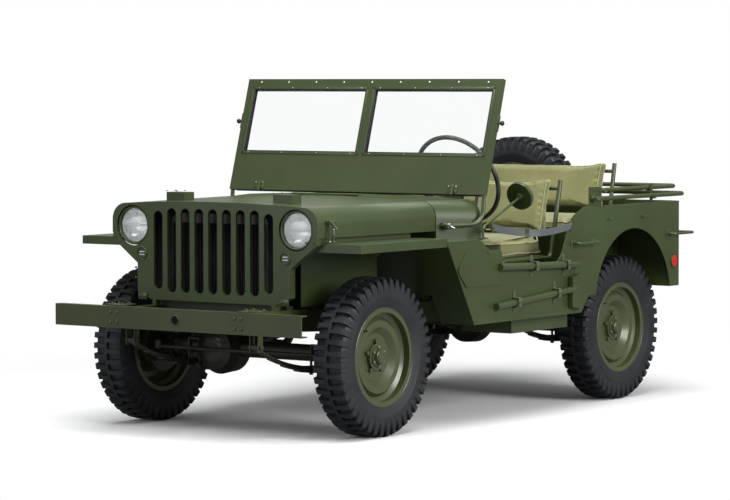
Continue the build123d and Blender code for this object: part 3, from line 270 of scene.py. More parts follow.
def paint(name, dark, light, roughness):
    """Sprayed olive paint with a light sheen."""
    material = finish_of(name, light, roughness)
    clouded(material, 2.4, (dark, light))
    uneven_gloss(material, 9.0, roughness - 0.05, roughness + 0.08)
    ripple = noise_on(material, 420.0, 2.0)
    bumped(material, ripple.outputs["Fac"], 0.08, 0.0004)
    shader = material.node_tree.nodes["Principled BSDF"]
    shader.inputs["Coat Weight"].default_value = 0.35
    shader.inputs["Coat Roughness"].default_value = 0.18
    return material


body_paint = paint("olive_body", (0.030, 0.047, 0.010), (0.040, 0.062, 0.015), 0.40)
chassis_paint = paint("olive_chassis", (0.034, 0.044, 0.009), (0.043, 0.055, 0.012), 0.45)
# Painted shade: a near-black olive for the parts underneath, in place of their chassis paint.
underside_painted_shade = paint("olive_underside_painted_shade", (0.009, 0.012, 0.005), (0.017, 0.021, 0.009), 0.55)
wheel_paint = paint("olive_wheel", (0.050, 0.062, 0.022), (0.066, 0.080, 0.030), 0.38)
black_paint = finish_of("black_enamel", (0.014, 0.014, 0.015), 0.35)
bumped(black_paint, noise_on(black_paint, 300.0).outputs["Fac"], 0.1, 0.0004)
grimy = finish_of("oily_iron", (0.035, 0.034, 0.030), 0.55)
clouded(grimy, 14.0, ((0.016, 0.016, 0.014), (0.055, 0.052, 0.044)))
bumped(grimy, noise_on(grimy, 160.0).outputs["Fac"], 0.3, 0.001)

# %% [markdown]
# Rubber is nearly black with a bluish bloom; canvas is a plain weave of two crossed waves whose
# bump changes thread by thread, with colour that drifts in faint clouds; steel has an uneven gloss; glass is
# thin and clear.

# %% Rubber, canvas, steel and glass
rubber = finish_of("tyre_rubber", (0.008, 0.009, 0.011), 0.58)
clouded(rubber, 7.0, ((0.006, 0.0065, 0.008), (0.013, 0.015, 0.018)))
bumped(rubber, noise_on(rubber, 380.0).outputs["Fac"], 0.25, 0.0006)


def woven(name, dark, light, threads, roughness=0.88):
    """Plain weave canvas: crossed waves give the threads, noise gives the slubs and fading."""
    material = finish_of(name, light, roughness)
    tree = material.node_tree
    where = tree.nodes.new("ShaderNodeTexCoord")
    waves = []
    for direction in ("X", "Y", "Z"):
        wave = tree.nodes.new("ShaderNodeTexWave")
        wave.bands_direction = direction
        wave.inputs["Scale"].default_value = threads
        wave.inputs["Distortion"].default_value = 0.4
        tree.links.new(where.outputs["Object"], wave.inputs["Vector"])
        waves.append(wave)
    first = tree.nodes.new("ShaderNodeMath")
    first.operation = "ADD"
    total = tree.nodes.new("ShaderNodeMath")
    total.operation = "ADD"
    tree.links.new(waves[0].outputs["Fac"], first.inputs[0])
    tree.links.new(waves[1].outputs["Fac"], first.inputs[1])
    tree.links.new(first.outputs[0], total.inputs[0])
    tree.links.new(waves[2].outputs["Fac"], total.inputs[1])
    clouded(material, 6.0, (dark, light), 0.3, 0.7)
    bumped(material, total.outputs[0], 0.35, 0.0006)
    shader = tree.nodes["Principled BSDF"]
    shader.inputs["Sheen Weight"].default_value = 0.25
    shader.inputs["Sheen Roughness"].default_value = 0.5
    return material


canvas = woven("khaki_canvas", (0.235, 0.215, 0.095), (0.315, 0.285, 0.135), 240.0)
webbing = woven("grey_webbing", (0.050, 0.062, 0.066), (0.090, 0.105, 0.108), 300.0)
dark_webbing = woven("olive_webbing", (0.040, 0.046, 0.018), (0.070, 0.076, 0.034), 300.0)
steel = finish_of("bare_steel", (0.42, 0.42, 0.40), 0.32, 1.0)
uneven_gloss(steel, 40.0, 0.22, 0.42)
bright = finish_of("bright_plate", (0.75, 0.75, 0.73), 0.18, 1.0)
mirror_face = finish_of("mirror_face", (0.85, 0.86, 0.86), 0.03, 1.0)
glass = finish_of("clear_glass", (0.96, 0.985, 0.97), 0.02)
glass.node_tree.nodes["Principled BSDF"].inputs["Transmission Weight"].default_value = 1.0
glass.node_tree.nodes["Principled BSDF"].inputs["IOR"].default_value = 1.45

# %% [markdown]
# Every carried-over part takes the finish of its material slot; the parts underneath take a near-black
# olive instead, which is painted shade. Its mesh is loose triangles, so a Weld modifier joins them and
# an angle keeps the edges crisp while round faces shade smoothly.

# %% Dress the carried-over parts
finish_for_slot = {
    "body_paint": body_paint,
    "chassis_paint": chassis_paint,
    "wheel_paint": wheel_paint,
    "tyre_rubber": rubber,
    "canvas": canvas,
    "glass": glass,
    "lamp_glass": bright,
    "bare_steel": steel,
    "black_steel": grimy,
}
# Parts underneath that take the near-black olive as painted shade.
UNDERSIDE_IN_PAINTED_SHADE = (
    "front_axle", "rear_axle", "leaf_springs", "tie_rod", "knuckle_left", "knuckle_right", "cross_members",
    "propeller_shafts",
)
slots = {entry["node"]: entry["material_slot"] for entry in frame["record"]["subparts"]}
for name, node in nodes.items():
    node.data.materials.clear()
    node.data.materials.append(underside_painted_shade if name in UNDERSIDE_IN_PAINTED_SHADE else finish_for_slot[slots[name]])
    weld = node.modifiers.new("weld", "WELD")
    weld.merge_threshold = 0.00002
    node.data.polygons.foreach_set("use_smooth", [True] * len(node.data.polygons))
    split = node.modifiers.new("crisp_edges", "EDGE_SPLIT")
    split.split_angle = radians(28)
print("dressed", len(nodes), "parts")

# %% [markdown]
# New pieces are drawn with bmesh. This helper turns a finished bmesh into a named piece, with its
# faces pointing outwards, its finish and the body that carries it.

# %% Piece helper


def piece_from(shape, name, finish, body, crease=32):
    """Makes the piece, smooth except at edges sharper than the crease angle."""
    bmesh.ops.recalc_face_normals(shape, faces=shape.faces)
    mesh = bpy.data.meshes.new(name)
    shape.to_mesh(mesh)
    shape.free()
    mesh.materials.append(finish)
    mesh.shade_smooth()
    mesh.set_sharp_from_angle(angle=radians(crease))
    piece = bpy.data.objects.new(name, mesh)
    bpy.context.collection.objects.link(piece)
    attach(piece, body)
    return piece


def ring_of(shape, profile, segments, axis=(0, 1, 0)):
    """Spins an open or closed list of (along, radius) points about the axis through the origin."""
    verts = [shape.verts.new((0, along, radius)) for along, radius in profile]
    edges = [shape.edges.new(pair) for pair in zip(verts, verts[1:])]
    bmesh.ops.spin(
        shape, geom=verts + edges, cent=(0, 0, 0), axis=axis, angle=2 * pi, steps=segments, use_merge=True
    )


# %% [markdown]
# Most small fittings are made of the same few shapes: a box with rounded edges, a rod between two
# points, a ring spun about some direction and a hexagon nut. These helpers add them to a bmesh.

# %% Shapes for fittings


def facing(place, out):
    """A matrix that stands a shape's Z axis along out, at the place."""
    return Matrix.Translation(place) @ Vector(out).to_track_quat("Z", "Y").to_matrix().to_4x4()


def soft_box(shape, centre, size, soften=0.001, place=None):
    """A box with rounded edges; place, if given, is the matrix that it is turned and moved by."""
    stand = place if place else Matrix.Identity(4)
    sized = Matrix.Translation(centre) @ Matrix.Diagonal((*size, 1))
    made = bmesh.ops.create_cube(shape, size=1.0, matrix=sized)
    bmesh.ops.transform(shape, matrix=stand, verts=made["verts"])
    edges = list({edge for vert in made["verts"] for edge in vert.link_edges})
    bmesh.ops.bevel(shape, geom=edges, offset=soften, segments=2, profile=0.5, affect="EDGES", material=-1)


def rod_between(shape, start, end, radius, segments=16, end_radius=None):
    """A closed round rod from start to end."""
    start, end = Vector(start), Vector(end)
    last = radius if end_radius is None else end_radius
    bmesh.ops.create_cone(
        shape, cap_ends=True, segments=segments, radius1=radius, radius2=last,
        depth=(end - start).length, matrix=facing((start + end) / 2, end - start),
    )


def turned(shape, profile, place, out, segments=32):
    """A shape spun from (height, radius) points, its axis standing at place along out."""
    part = bmesh.new()
    verts = [part.verts.new((radius, 0, height)) for height, radius in profile]
    edges = [part.edges.new(pair) for pair in zip(verts, verts[1:])]
    bmesh.ops.spin(
        part, geom=verts + edges, cent=(0, 0, 0), axis=(0, 0, 1), angle=2 * pi, steps=segments, use_merge=True
    )
    bmesh.ops.remove_doubles(part, verts=part.verts, dist=0.00003)
    bmesh.ops.transform(part, matrix=facing(place, out), verts=part.verts)
    carried = bpy.data.meshes.new("carried")
    part.to_mesh(carried)
    part.free()
    shape.from_mesh(carried)
    bpy.data.meshes.remove(carried)


def bolt_head(shape, place, out, radius, height, turn=0.0):
    """A hexagon head with a slightly domed top, standing on place along out."""
    out = Vector(out).normalized()
    made = bmesh.ops.create_cone(
        shape, cap_ends=True, segments=6, radius1=radius, radius2=radius, depth=height,
        matrix=facing(place, out) @ Matrix.Rotation(turn, 4, "Z") @ Matrix.Translation((0, 0, height / 2)),
    )
    faces = [face for vert in made["verts"] for face in vert.link_faces]
    top = max(faces, key=lambda face: (face.calc_center_median() - Vector(place)).dot(out))
    bmesh.ops.inset_individual(shape, faces=[top], thickness=radius * 0.28, depth=height * 0.22)


def rivet(shape, place, out, radius):
    """A low round head of a rivet or stud."""
    dome = [(0.0, 1.0), (0.35, 0.92), (0.62, 0.55), (0.7, 0.0)]
    turned(shape, [(height * radius, reach * radius) for height, reach in dome], place, out, 10)


def tube_through(name, points, radius, finish, body, order=3):
    """A round tube along a smooth line through the points, as a curve piece."""
    line = bpy.data.curves.new(name, "CURVE")
    line.dimensions = "3D"
    line.bevel_depth = radius
    line.bevel_resolution = 3
    line.use_fill_caps = True
    path = line.splines.new("NURBS")
    path.points.add(len(points) - 1)
    for point, place in zip(path.points, points):
        point.co = (*place, 1)
    path.order_u = order
    path.use_endpoint_u = True
    line.resolution_u = 8
    line.render_resolution_u = 8
    line.materials.append(finish)
    tube = bpy.data.objects.new(name, line)
    bpy.context.collection.objects.link(tube)
    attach(tube, body)
    return tube


# %% [markdown]
# The tyre has the heavy bar tread of military tyres: short bars on each side of a narrow rib in
# the middle, the left bars half a step ahead of the right ones. Each bar is wide at the shoulder and
# wraps down over it. The carcass is spun from its section; one bar is modelled and then turned
# round the tyre, so all of them stay alike.

# %% Tyre
BARS = 22 * 2


def tyre_shape():
    """One tyre about the Y axis, its middle at the origin."""
    shape = bmesh.new()
    half = [
        (0.000, 0.3415), (0.030, 0.3412), (0.052, 0.3395), (0.066, 0.333), (0.072, 0.3225), (0.0755, 0.306),
        (0.0775, 0.289), (0.0775, 0.272), (0.0755, 0.2555), (0.0735, 0.2525), (0.0725, 0.248),
        (0.069, 0.236),
        (0.0655, 0.2275), (0.0635, 0.2225), (0.0615, 0.2205), (0.0595, 0.2125), (0.0585, 0.2065),
    ]
    section = [(-y, r) for y, r in reversed(half)] + half[1:]
    ring_of(shape, section, 96)
    inner = [(y, r) for y, r in (section[-1], (0.05, 0.2035), (-0.05, 0.2035), section[0])]
    ring_of(shape, inner, 96)
    for side in (-1, 1):
        for number in range(BARS):
            turn = (number + (0.25 if side > 0 else -0.25)) * 2 * pi / BARS
            add_bar(shape, side, turn)
    # Rib in the middle of the tread
    ring_of(shape, [(-0.006, 0.338), (-0.006, 0.3545), (0.006, 0.3545), (0.006, 0.338)], 96)
    bmesh.ops.remove_doubles(shape, verts=shape.verts, dist=0.00005)
    return shape


def add_bar(shape, side, turn):
    """One tread bar: lofted through sections from the middle rib over the shoulder and down the side."""
    # Columns: distance from the middle, bottom radius, top radius, half width round the tyre
    stations = (
        (0.004, 0.336, 0.3548, 0.0085),
        (0.040, 0.336, 0.3550, 0.0100),
        (0.064, 0.332, 0.3535, 0.0122),
        (0.0745, 0.322, 0.3440, 0.0128),
        (0.0770, 0.300, 0.3170, 0.0118),
        (0.0772, 0.284, 0.2960, 0.0105),
    )
    rings = []
    for y, low, high, half in stations:
        out = 0.0 if y < 0.07 else 0.0022
        rings.append([
            (half * 1.12, side * y, low), (half, side * (y + out), high),
            (-half, side * (y + out), high), (-half * 1.12, side * y, low),
        ])
    rotation = Matrix.Rotation(turn, 4, "Y")
    lean = Matrix.Rotation(side * 0.012, 4, "Z")
    loops = [[shape.verts.new(rotation @ lean @ Vector(p)) for p in ring] for ring in rings]
    for near, far in zip(loops, loops[1:]):
        for i in range(4):
            j = (i + 1) % 4
            shape.faces.new((near[i], near[j], far[j], far[i]))
    shape.faces.new(loops[0])
    shape.faces.new(list(reversed(loops[-1])))


tyre_pattern = bpy.data.meshes.new("tyre_pattern")
pattern = tyre_shape()
pattern.to_mesh(tyre_pattern)
pattern.free()
wheel_places = {
    "front_left": (at(0, WHEEL_Y, HUB_Z), 0, "wheel_front_left"),
    "front_right": (at(0, -WHEEL_Y, HUB_Z), 180, "wheel_front_right"),
    "rear_left": (at(-WHEELBASE, WHEEL_Y, HUB_Z), 0, "wheel_rear_left"),
    "rear_right": (at(-WHEELBASE, -WHEEL_Y, HUB_Z), 180, "wheel_rear_right"),
}
spare_place = (at(-2.627, SPARE_Y, SPARE_Z), 90, "body")


def placed(pattern_mesh, place, turn):
    """A copy of a pattern mesh as a bmesh, turned about Z and moved to its place."""
    shape = bmesh.new()
    shape.from_mesh(pattern_mesh)
    bmesh.ops.transform(
        shape, matrix=Matrix.Translation(place) @ Matrix.Rotation(radians(turn), 4, "Z"), verts=shape.verts
    )
    return shape


for corner, (place, turn, body) in {**wheel_places, "spare": spare_place}.items():
    tread = piece_from(placed(tyre_pattern, place, turn), "tread_" + corner, rubber, body)
    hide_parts("spare_tyre" if corner == "spare" else "tyre_" + corner)
print("tyre triangles:", len(tyre_pattern.polygons) * 2)

# %% [markdown]
# Wheels are steel discs on a drop-centre rim. What the solid wheel lacks is small: the rolled edge
# of the rim, a valve stem, and the cap of the hub with its ring of bolt heads.

# %% Wheel trim
RIM_HALF = 0.062
HUB_BOLTS = 6


def wheel_trim_shape():
    """Rim edges, hub cap and valve about the Y axis, with the outside at +Y."""
    shape = bmesh.new()
    for side in (-1, 1):
        edge = side * RIM_HALF
        ring_of(shape, [
            (edge - side * 0.0035, 0.2185), (edge + side * 0.0012, 0.2185), (edge + side * 0.0022, 0.2200),
            (edge + side * 0.0012, 0.2217), (edge - side * 0.0035, 0.2217), (edge - side * 0.0035, 0.2185),
        ], 96)
    # Hub cap: a stepped cup with a chamfered end
    ring_of(shape, [
        (0.0285, 0.0), (0.0285, 0.0445), (0.0325, 0.0445), (0.0335, 0.0435), (0.0335, 0.0315),
        (0.0520, 0.0290),
        (0.0545, 0.0265), (0.0545, 0.0160), (0.0530, 0.0150), (0.0530, 0.0),
    ], 48)
    painted = set(shape.faces)
    for number in range(HUB_BOLTS):
        turn = number * 2 * pi / HUB_BOLTS
        bolt_head(shape, (0.0425 * sin(turn), 0.0300, 0.0425 * cos(turn)), (0, 1, 0), 0.0068, 0.0085, turn)
    for face in set(shape.faces) - painted:
        face.material_index = 1
    # Valve stem beside the rim
    bmesh.ops.create_cone(
        shape, cap_ends=True, segments=12, radius1=0.0045, radius2=0.0036, depth=0.034,
        matrix=Matrix.Translation((0.122, 0.046, 0.122)) @ Matrix.Rotation(radians(-78), 4, "X"),
    )
    return shape


trim_pattern = bpy.data.meshes.new("wheel_trim_pattern")
trim = wheel_trim_shape()
trim.to_mesh(trim_pattern)
trim.free()
for corner, (place, turn, body) in {**wheel_places, "spare": spare_place}.items():
    trim_piece = piece_from(placed(trim_pattern, place, turn), "wheel_trim_" + corner, wheel_paint, body)
    trim_piece.data.materials.append(steel)
print("wheel trim on", len(wheel_places) + 1, "wheels")

# %% [markdown]
# Each headlamp is a painted bucket that holds a bright bowl, a bulb, a bulging lens and a bezel that
# clamps them. The marker and tail lamps are small drums whose dark faces show pale slots.

# %% Lamps
HEAD_Y = 0.460
HEAD_Z = 0.925
MARKER_Y = 0.405
MARKER_Z = 0.800
TAIL_Y = 0.650
TAIL_Z = 0.770
shells = bmesh.new()
bowls = bmesh.new()
lenses = bmesh.new()
slots_shape = bmesh.new()
red_shape = bmesh.new()
for side in (-1, 1):
    head = (GRILLE_X, side * HEAD_Y, HEAD_Z)
    # The bucket: outside, then the seat of the bowl, closed at the back
    turned(shells, [
        (-0.114, 0.0), (-0.114, 0.0467), (-0.044, 0.0840), (-0.024, 0.0840), (-0.024, 0.0785),
        (-0.046, 0.0680),
        (-0.064, 0.0500), (-0.076, 0.0270), (-0.079, 0.0),
    ], head, (1, 0, 0), 48)
    # Bezel with a rolled edge
    turned(shells, [
        (-0.0235, 0.0885), (-0.0150, 0.0895), (-0.0090, 0.0885), (-0.0060, 0.0850), (-0.0065, 0.0800),
        (-0.0120, 0.0765), (-0.0235, 0.0760), (-0.0235, 0.0885),
    ], head, (1, 0, 0), 64)
    soft_box(shells, (GRILLE_X - 0.0315, side * (HEAD_Y - 0.087), HEAD_Z), (0.036, 0.013, 0.030), 0.001)
    turned(bowls, [
        (-0.0240, 0.0783), (-0.0455, 0.0677), (-0.0632, 0.0498), (-0.0752, 0.0268), (-0.0782, 0.0),
    ], head, (1, 0, 0), 48)
    turned(bowls, [
        (-0.0780, 0.0), (-0.0770, 0.0085), (-0.0560, 0.0085), (-0.0500, 0.0110), (-0.0430, 0.0100),
        (-0.0390, 0.0055),
        (-0.0380, 0.0),
    ], head, (1, 0, 0), 20)
    turned(lenses, [
        (-0.0150, 0.0), (-0.0160, 0.0300), (-0.0190, 0.0560), (-0.0225, 0.0755), (-0.0190, 0.0762),
        (-0.0140, 0.0560),
        (-0.0095, 0.0300), (-0.0080, 0.0),
    ], head, (1, 0, 0), 48)
    # Marker lamp: drum, rim, and two slots under a small hood
    marker = (GRILLE_X, side * MARKER_Y, MARKER_Z)
    turned(shells, [
        (-0.040, 0.0), (-0.040, 0.0255), (-0.034, 0.0295), (0.0035, 0.0295), (0.0060, 0.0280),
        (0.0060, 0.0255),
        (0.0010, 0.0245), (0.0005, 0.0),
    ], marker, (1, 0, 0), 32)
    for rise in (-0.0065, 0.0065):
        soft_box(slots_shape, (GRILLE_X + 0.0012, marker[1], MARKER_Z + rise), (0.003, 0.030, 0.0055), 0.0008)
    # Tail lamp: drum, rim and its lenses
    tail = (TUB_REAR_X, side * TAIL_Y, TAIL_Z)
    turned(shells, [
        (0.0, 0.0), (0.0, 0.0375), (0.016, 0.0380), (0.0215, 0.0370), (0.0225, 0.0340),
        (0.0190, 0.0330), (0.0180, 0.0),
    ], tail, (-1, 0, 0), 40)
    soft_box(red_shape, (TUB_REAR_X - 0.0190, tail[1], TAIL_Z + 0.011), (0.004, 0.040, 0.017), 0.001)
    soft_box(slots_shape, (TUB_REAR_X - 0.0190, tail[1], TAIL_Z - 0.014), (0.004, 0.036, 0.008), 0.001)
    for step in (-0.026, 0.026):
        bolt_head(shells, (TUB_REAR_X - 0.018, tail[1] + step, TAIL_Z - 0.001), (-1, 0, 0), 0.003, 0.002)
lens_glass = finish_of("ribbed_lens", (0.93, 0.96, 0.97), 0.05)
lens_glass.node_tree.nodes["Principled BSDF"].inputs["Transmission Weight"].default_value = 0.85
flutes = lens_glass.node_tree.nodes.new("ShaderNodeTexWave")
flutes.bands_direction = "Y"
flutes.inputs["Scale"].default_value = 42.0
lens_where = lens_glass.node_tree.nodes.new("ShaderNodeTexCoord")
lens_glass.node_tree.links.new(lens_where.outputs["Object"], flutes.inputs["Vector"])
bumped(lens_glass, flutes.outputs["Fac"], 0.5, 0.0012)
pale_slot = finish_of("pale_slot", (0.62, 0.66, 0.62), 0.25)
clouded(pale_slot, 90.0, ((0.42, 0.46, 0.42), (0.70, 0.74, 0.70)))
red_lens = finish_of("red_lens", (0.55, 0.012, 0.008), 0.12)
clouded(red_lens, 120.0, ((0.40, 0.006, 0.004), (0.66, 0.02, 0.012)))
lamp_shells = piece_from(shells, "lamp_shells", body_paint, "body")
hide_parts("lamps")
for shape, name, finish, slot in (
    (bowls, "headlamp_bowls", bright, "lamp_glass"), (lenses, "headlamp_lenses", lens_glass, "glass"),
    (slots_shape, "lamp_slots", pale_slot, "lamp_glass"), (red_shape, "tail_lenses", red_lens, "glass"),
):
    piece_from(shape, name, finish, "body")
print("lamps: 2 head, 2 marker, 2 tail")

# %% [markdown]
# The windshield leans back 17 degrees, so its fittings are placed in its own frame: across, up the
# slope and out from the middle of its thickness. It gets a pane frame and rubber round each glass,
# a row of studs for the canvas top along the header, hold-down clamps and a knob on each side.

# %% Windshield fittings
WIND_TILT = radians(17)
WIND_HALF = 0.740
WIND_HEIGHT = 0.556
PANE_LOW = 0.180
PANE_HIGH = 0.516
PANE_OUT = 0.706
PANE_IN = 0.013
wind_frame = Matrix.Translation(at(-0.734, 0, 1.049)) @ Matrix.Rotation(-WIND_TILT, 4, "Y") @ Matrix(
    ((0, 0, 1, 0), (1, 0, 0, 0), (0, 1, 0, 0), (0, 0, 0, 1))
)


def on_wind(across, up, out):
    """A point of the windshield in the car's frame."""
    return wind_frame @ Vector((across, up, out))


wind_front = (wind_frame.to_3x3() @ Vector((0, 0, 1))).normalized()
pane_frames = bmesh.new()
pane_rubber = bmesh.new()
studs = bmesh.new()
for side in (-1, 1):
    middle = side * (PANE_IN + PANE_OUT) / 2
    width = PANE_OUT - PANE_IN
    height = PANE_HIGH - PANE_LOW
    for face in (-1, 1):
        for up, tall in ((PANE_LOW + 0.006, 0.012), (PANE_HIGH - 0.006, 0.012)):
            soft_box(pane_frames, (middle, up, face * 0.0115), (width, tall, 0.005), 0.0012, wind_frame)
        for edge in (-1, 1):
            spot = (middle + edge * (width / 2 - 0.006), (PANE_LOW + PANE_HIGH) / 2, face * 0.0115)
            soft_box(pane_frames, spot, (0.012, height, 0.005), 0.0012, wind_frame)
        for up in (PANE_LOW + 0.0145, PANE_HIGH - 0.0145):
            spot = (middle, up, face * 0.0070)
            soft_box(pane_rubber, spot, (width - 0.022, 0.005, 0.010), 0.001, wind_frame)
        for edge in (-1, 1):
            spot = (middle + edge * (width / 2 - 0.0145), (PANE_LOW + PANE_HIGH) / 2, face * 0.0070)
            soft_box(pane_rubber, spot, (0.005, height - 0.026, 0.010), 0.001, wind_frame)
        for up in (PANE_LOW + 0.006, PANE_HIGH - 0.006):
            for share in (0.06, 0.35, 0.65, 0.94):
                x = side * (PANE_IN + share * width)
                rivet(studs, on_wind(x, up, face * 0.014), wind_front * face, 0.0032)
for number in range(9):
    rivet(studs, on_wind((number - 4) * 0.165, WIND_HEIGHT - 0.018, 0.011), wind_front, 0.0070)
for side in (-1, 1):
    # Knob on the side bar, hold-down clamp at the lower corner, wing screw at the pivot
    soft_box(pane_frames, (side * 0.7425, 0.345, 0.0), (0.007, 0.075, 0.020), 0.0015, wind_frame)
    rod_between(pane_frames, on_wind(side * 0.744, 0.345, 0.0), on_wind(side * 0.758, 0.345, 0.0), 0.0055)
    turned(pane_rubber, [
        (0.0, 0.0), (0.0, 0.0075), (0.004, 0.0110), (0.010, 0.0120), (0.015, 0.0100),
        (0.018, 0.0055), (0.019, 0.0),
    ], on_wind(side * 0.757, 0.345, 0.0), (0, side, 0), 20)
    soft_box(pane_frames, (side * 0.560, 0.026, 0.0130), (0.055, 0.036, 0.004), 0.001, wind_frame)
    soft_box(pane_frames, (side * 0.560, 0.020, 0.0190), (0.020, 0.050, 0.009), 0.002, wind_frame)
    for across in (-0.020, 0.020):
        bolt_head(studs, on_wind(side * 0.560 + across, 0.034, 0.0150), wind_front, 0.0042, 0.003)
    bolt_head(studs, at(-0.530, side * 0.668, 0.915), (0, side, 0), 0.0125, 0.009)
    for way in (-1, 1):
        wing_tip = at(-0.530 + way * 0.020, side * 0.690, 0.915 + way * 0.010)
        rod_between(studs, at(-0.530, side * 0.680, 0.915), wing_tip, 0.0042, 12, 0.0060)
# Rubber strip that seals the lower panel on the cowl
soft_box(pane_rubber, (0, 0.002, -0.004), (2 * WIND_HALF - 0.06, 0.010, 0.020), 0.003, wind_frame)
for shape, name, finish, slot in (
    (pane_frames, "windshield_trim", body_paint, "body_paint"),
    (pane_rubber, "windshield_rubber", rubber, "tyre_rubber"),
    (studs, "windshield_studs", steel, "lamp_glass"),
):
    piece_from(shape, name, finish, "windshield")
print("windshield: 2 pane frames, 9 header studs, 2 clamps, 2 knobs")

# %% [markdown]
# Front end: the radiator core behind the slots, bolts and gussets that hold the bumper, and brackets at
# the foot of the grille.

# %% Front end
core = bmesh.new()
for number in range(34):
    y = (number - 16.5) * 0.0155
    soft_box(core, (FRONT_AXLE + 0.3035, y, 0.775), (0.007, 0.0022, 0.330), 0.0006)
soft_box(core, (FRONT_AXLE + 0.3005, 0, 0.775), (0.002, 0.530, 0.335), 0.0005)
for side in (-1, 1):
    soft_box(core, (FRONT_AXLE + 0.2960, side * 0.3280, 0.795), (0.003, 0.125, 0.380), 0.001)
core_finish = finish_of("core_black", (0.006, 0.006, 0.007), 0.5)
fins = core_finish.node_tree.nodes.new("ShaderNodeTexWave")
fins.bands_direction = "Z"
fins.inputs["Scale"].default_value = 130.0
core_where = core_finish.node_tree.nodes.new("ShaderNodeTexCoord")
core_finish.node_tree.links.new(core_where.outputs["Object"], fins.inputs["Vector"])
bumped(core_finish, fins.outputs["Fac"], 0.8, 0.002)
piece_from(core, "radiator_core", core_finish, "body")

front_bolts = bmesh.new()
gussets = bmesh.new()
for side in (-1, 1):
    for y in (0.330, 0.368):
        for z in (0.507, 0.551):
            rivet(front_bolts, at(0.620, side * y, z), (1, 0, 0), 0.0095)
    soft_box(gussets, at(0.545, side * SPRING_Y, 0.5800), (0.105, 0.052, 0.005), 0.0015)
    soft_box(gussets, at(0.545, side * 0.4000, 0.5800), (0.066, 0.060, 0.005), 0.0015)
    for x in (0.510, 0.560):
        bolt_head(front_bolts, at(x, side * SPRING_Y, 0.5825), (0, 0, 1), 0.0085, 0.006, 0.3)
        bolt_head(front_bolts, at(x, side * 0.408, 0.5825), (0, 0, 1), 0.0060, 0.005, 0.7)
    soft_box(gussets, at(0.3545, side * 0.400, 0.6060), (0.006, 0.048, 0.030), 0.002)
    for y in (0.386, 0.414):
        bolt_head(front_bolts, at(0.3575, side * y, 0.6060), (1, 0, 0), 0.0060, 0.004)
    # Bolts where the grille is joined to the fenders
    for y, z in ((0.520, 0.872), (0.560, 0.872), (0.440, 0.735), (0.440, 0.690)):
        bolt_head(front_bolts, at(0.3502, side * y, z), (1, 0, 0), 0.0055, 0.0035, y * 9)
# Rolled rim of the crank hole
turned(gussets, [
    (0.0, 0.0200), (0.0020, 0.0200), (0.0030, 0.0215), (0.0020, 0.0255), (0.0, 0.0260), (0.0, 0.0200),
], at(0.620, 0, 0.529), (1, 0, 0), 32)
piece_from(gussets, "front_gussets", chassis_paint, "body")
piece_from(front_bolts, "front_bolts", chassis_paint, "body")
print("front end: core, gussets, bolts")

# %% [markdown]
# Sides: red reflectors, the safety strap across each door opening, foot plates of the grab handles,
# rivets along the body, and webbing straps that hold the shovel and the axe.

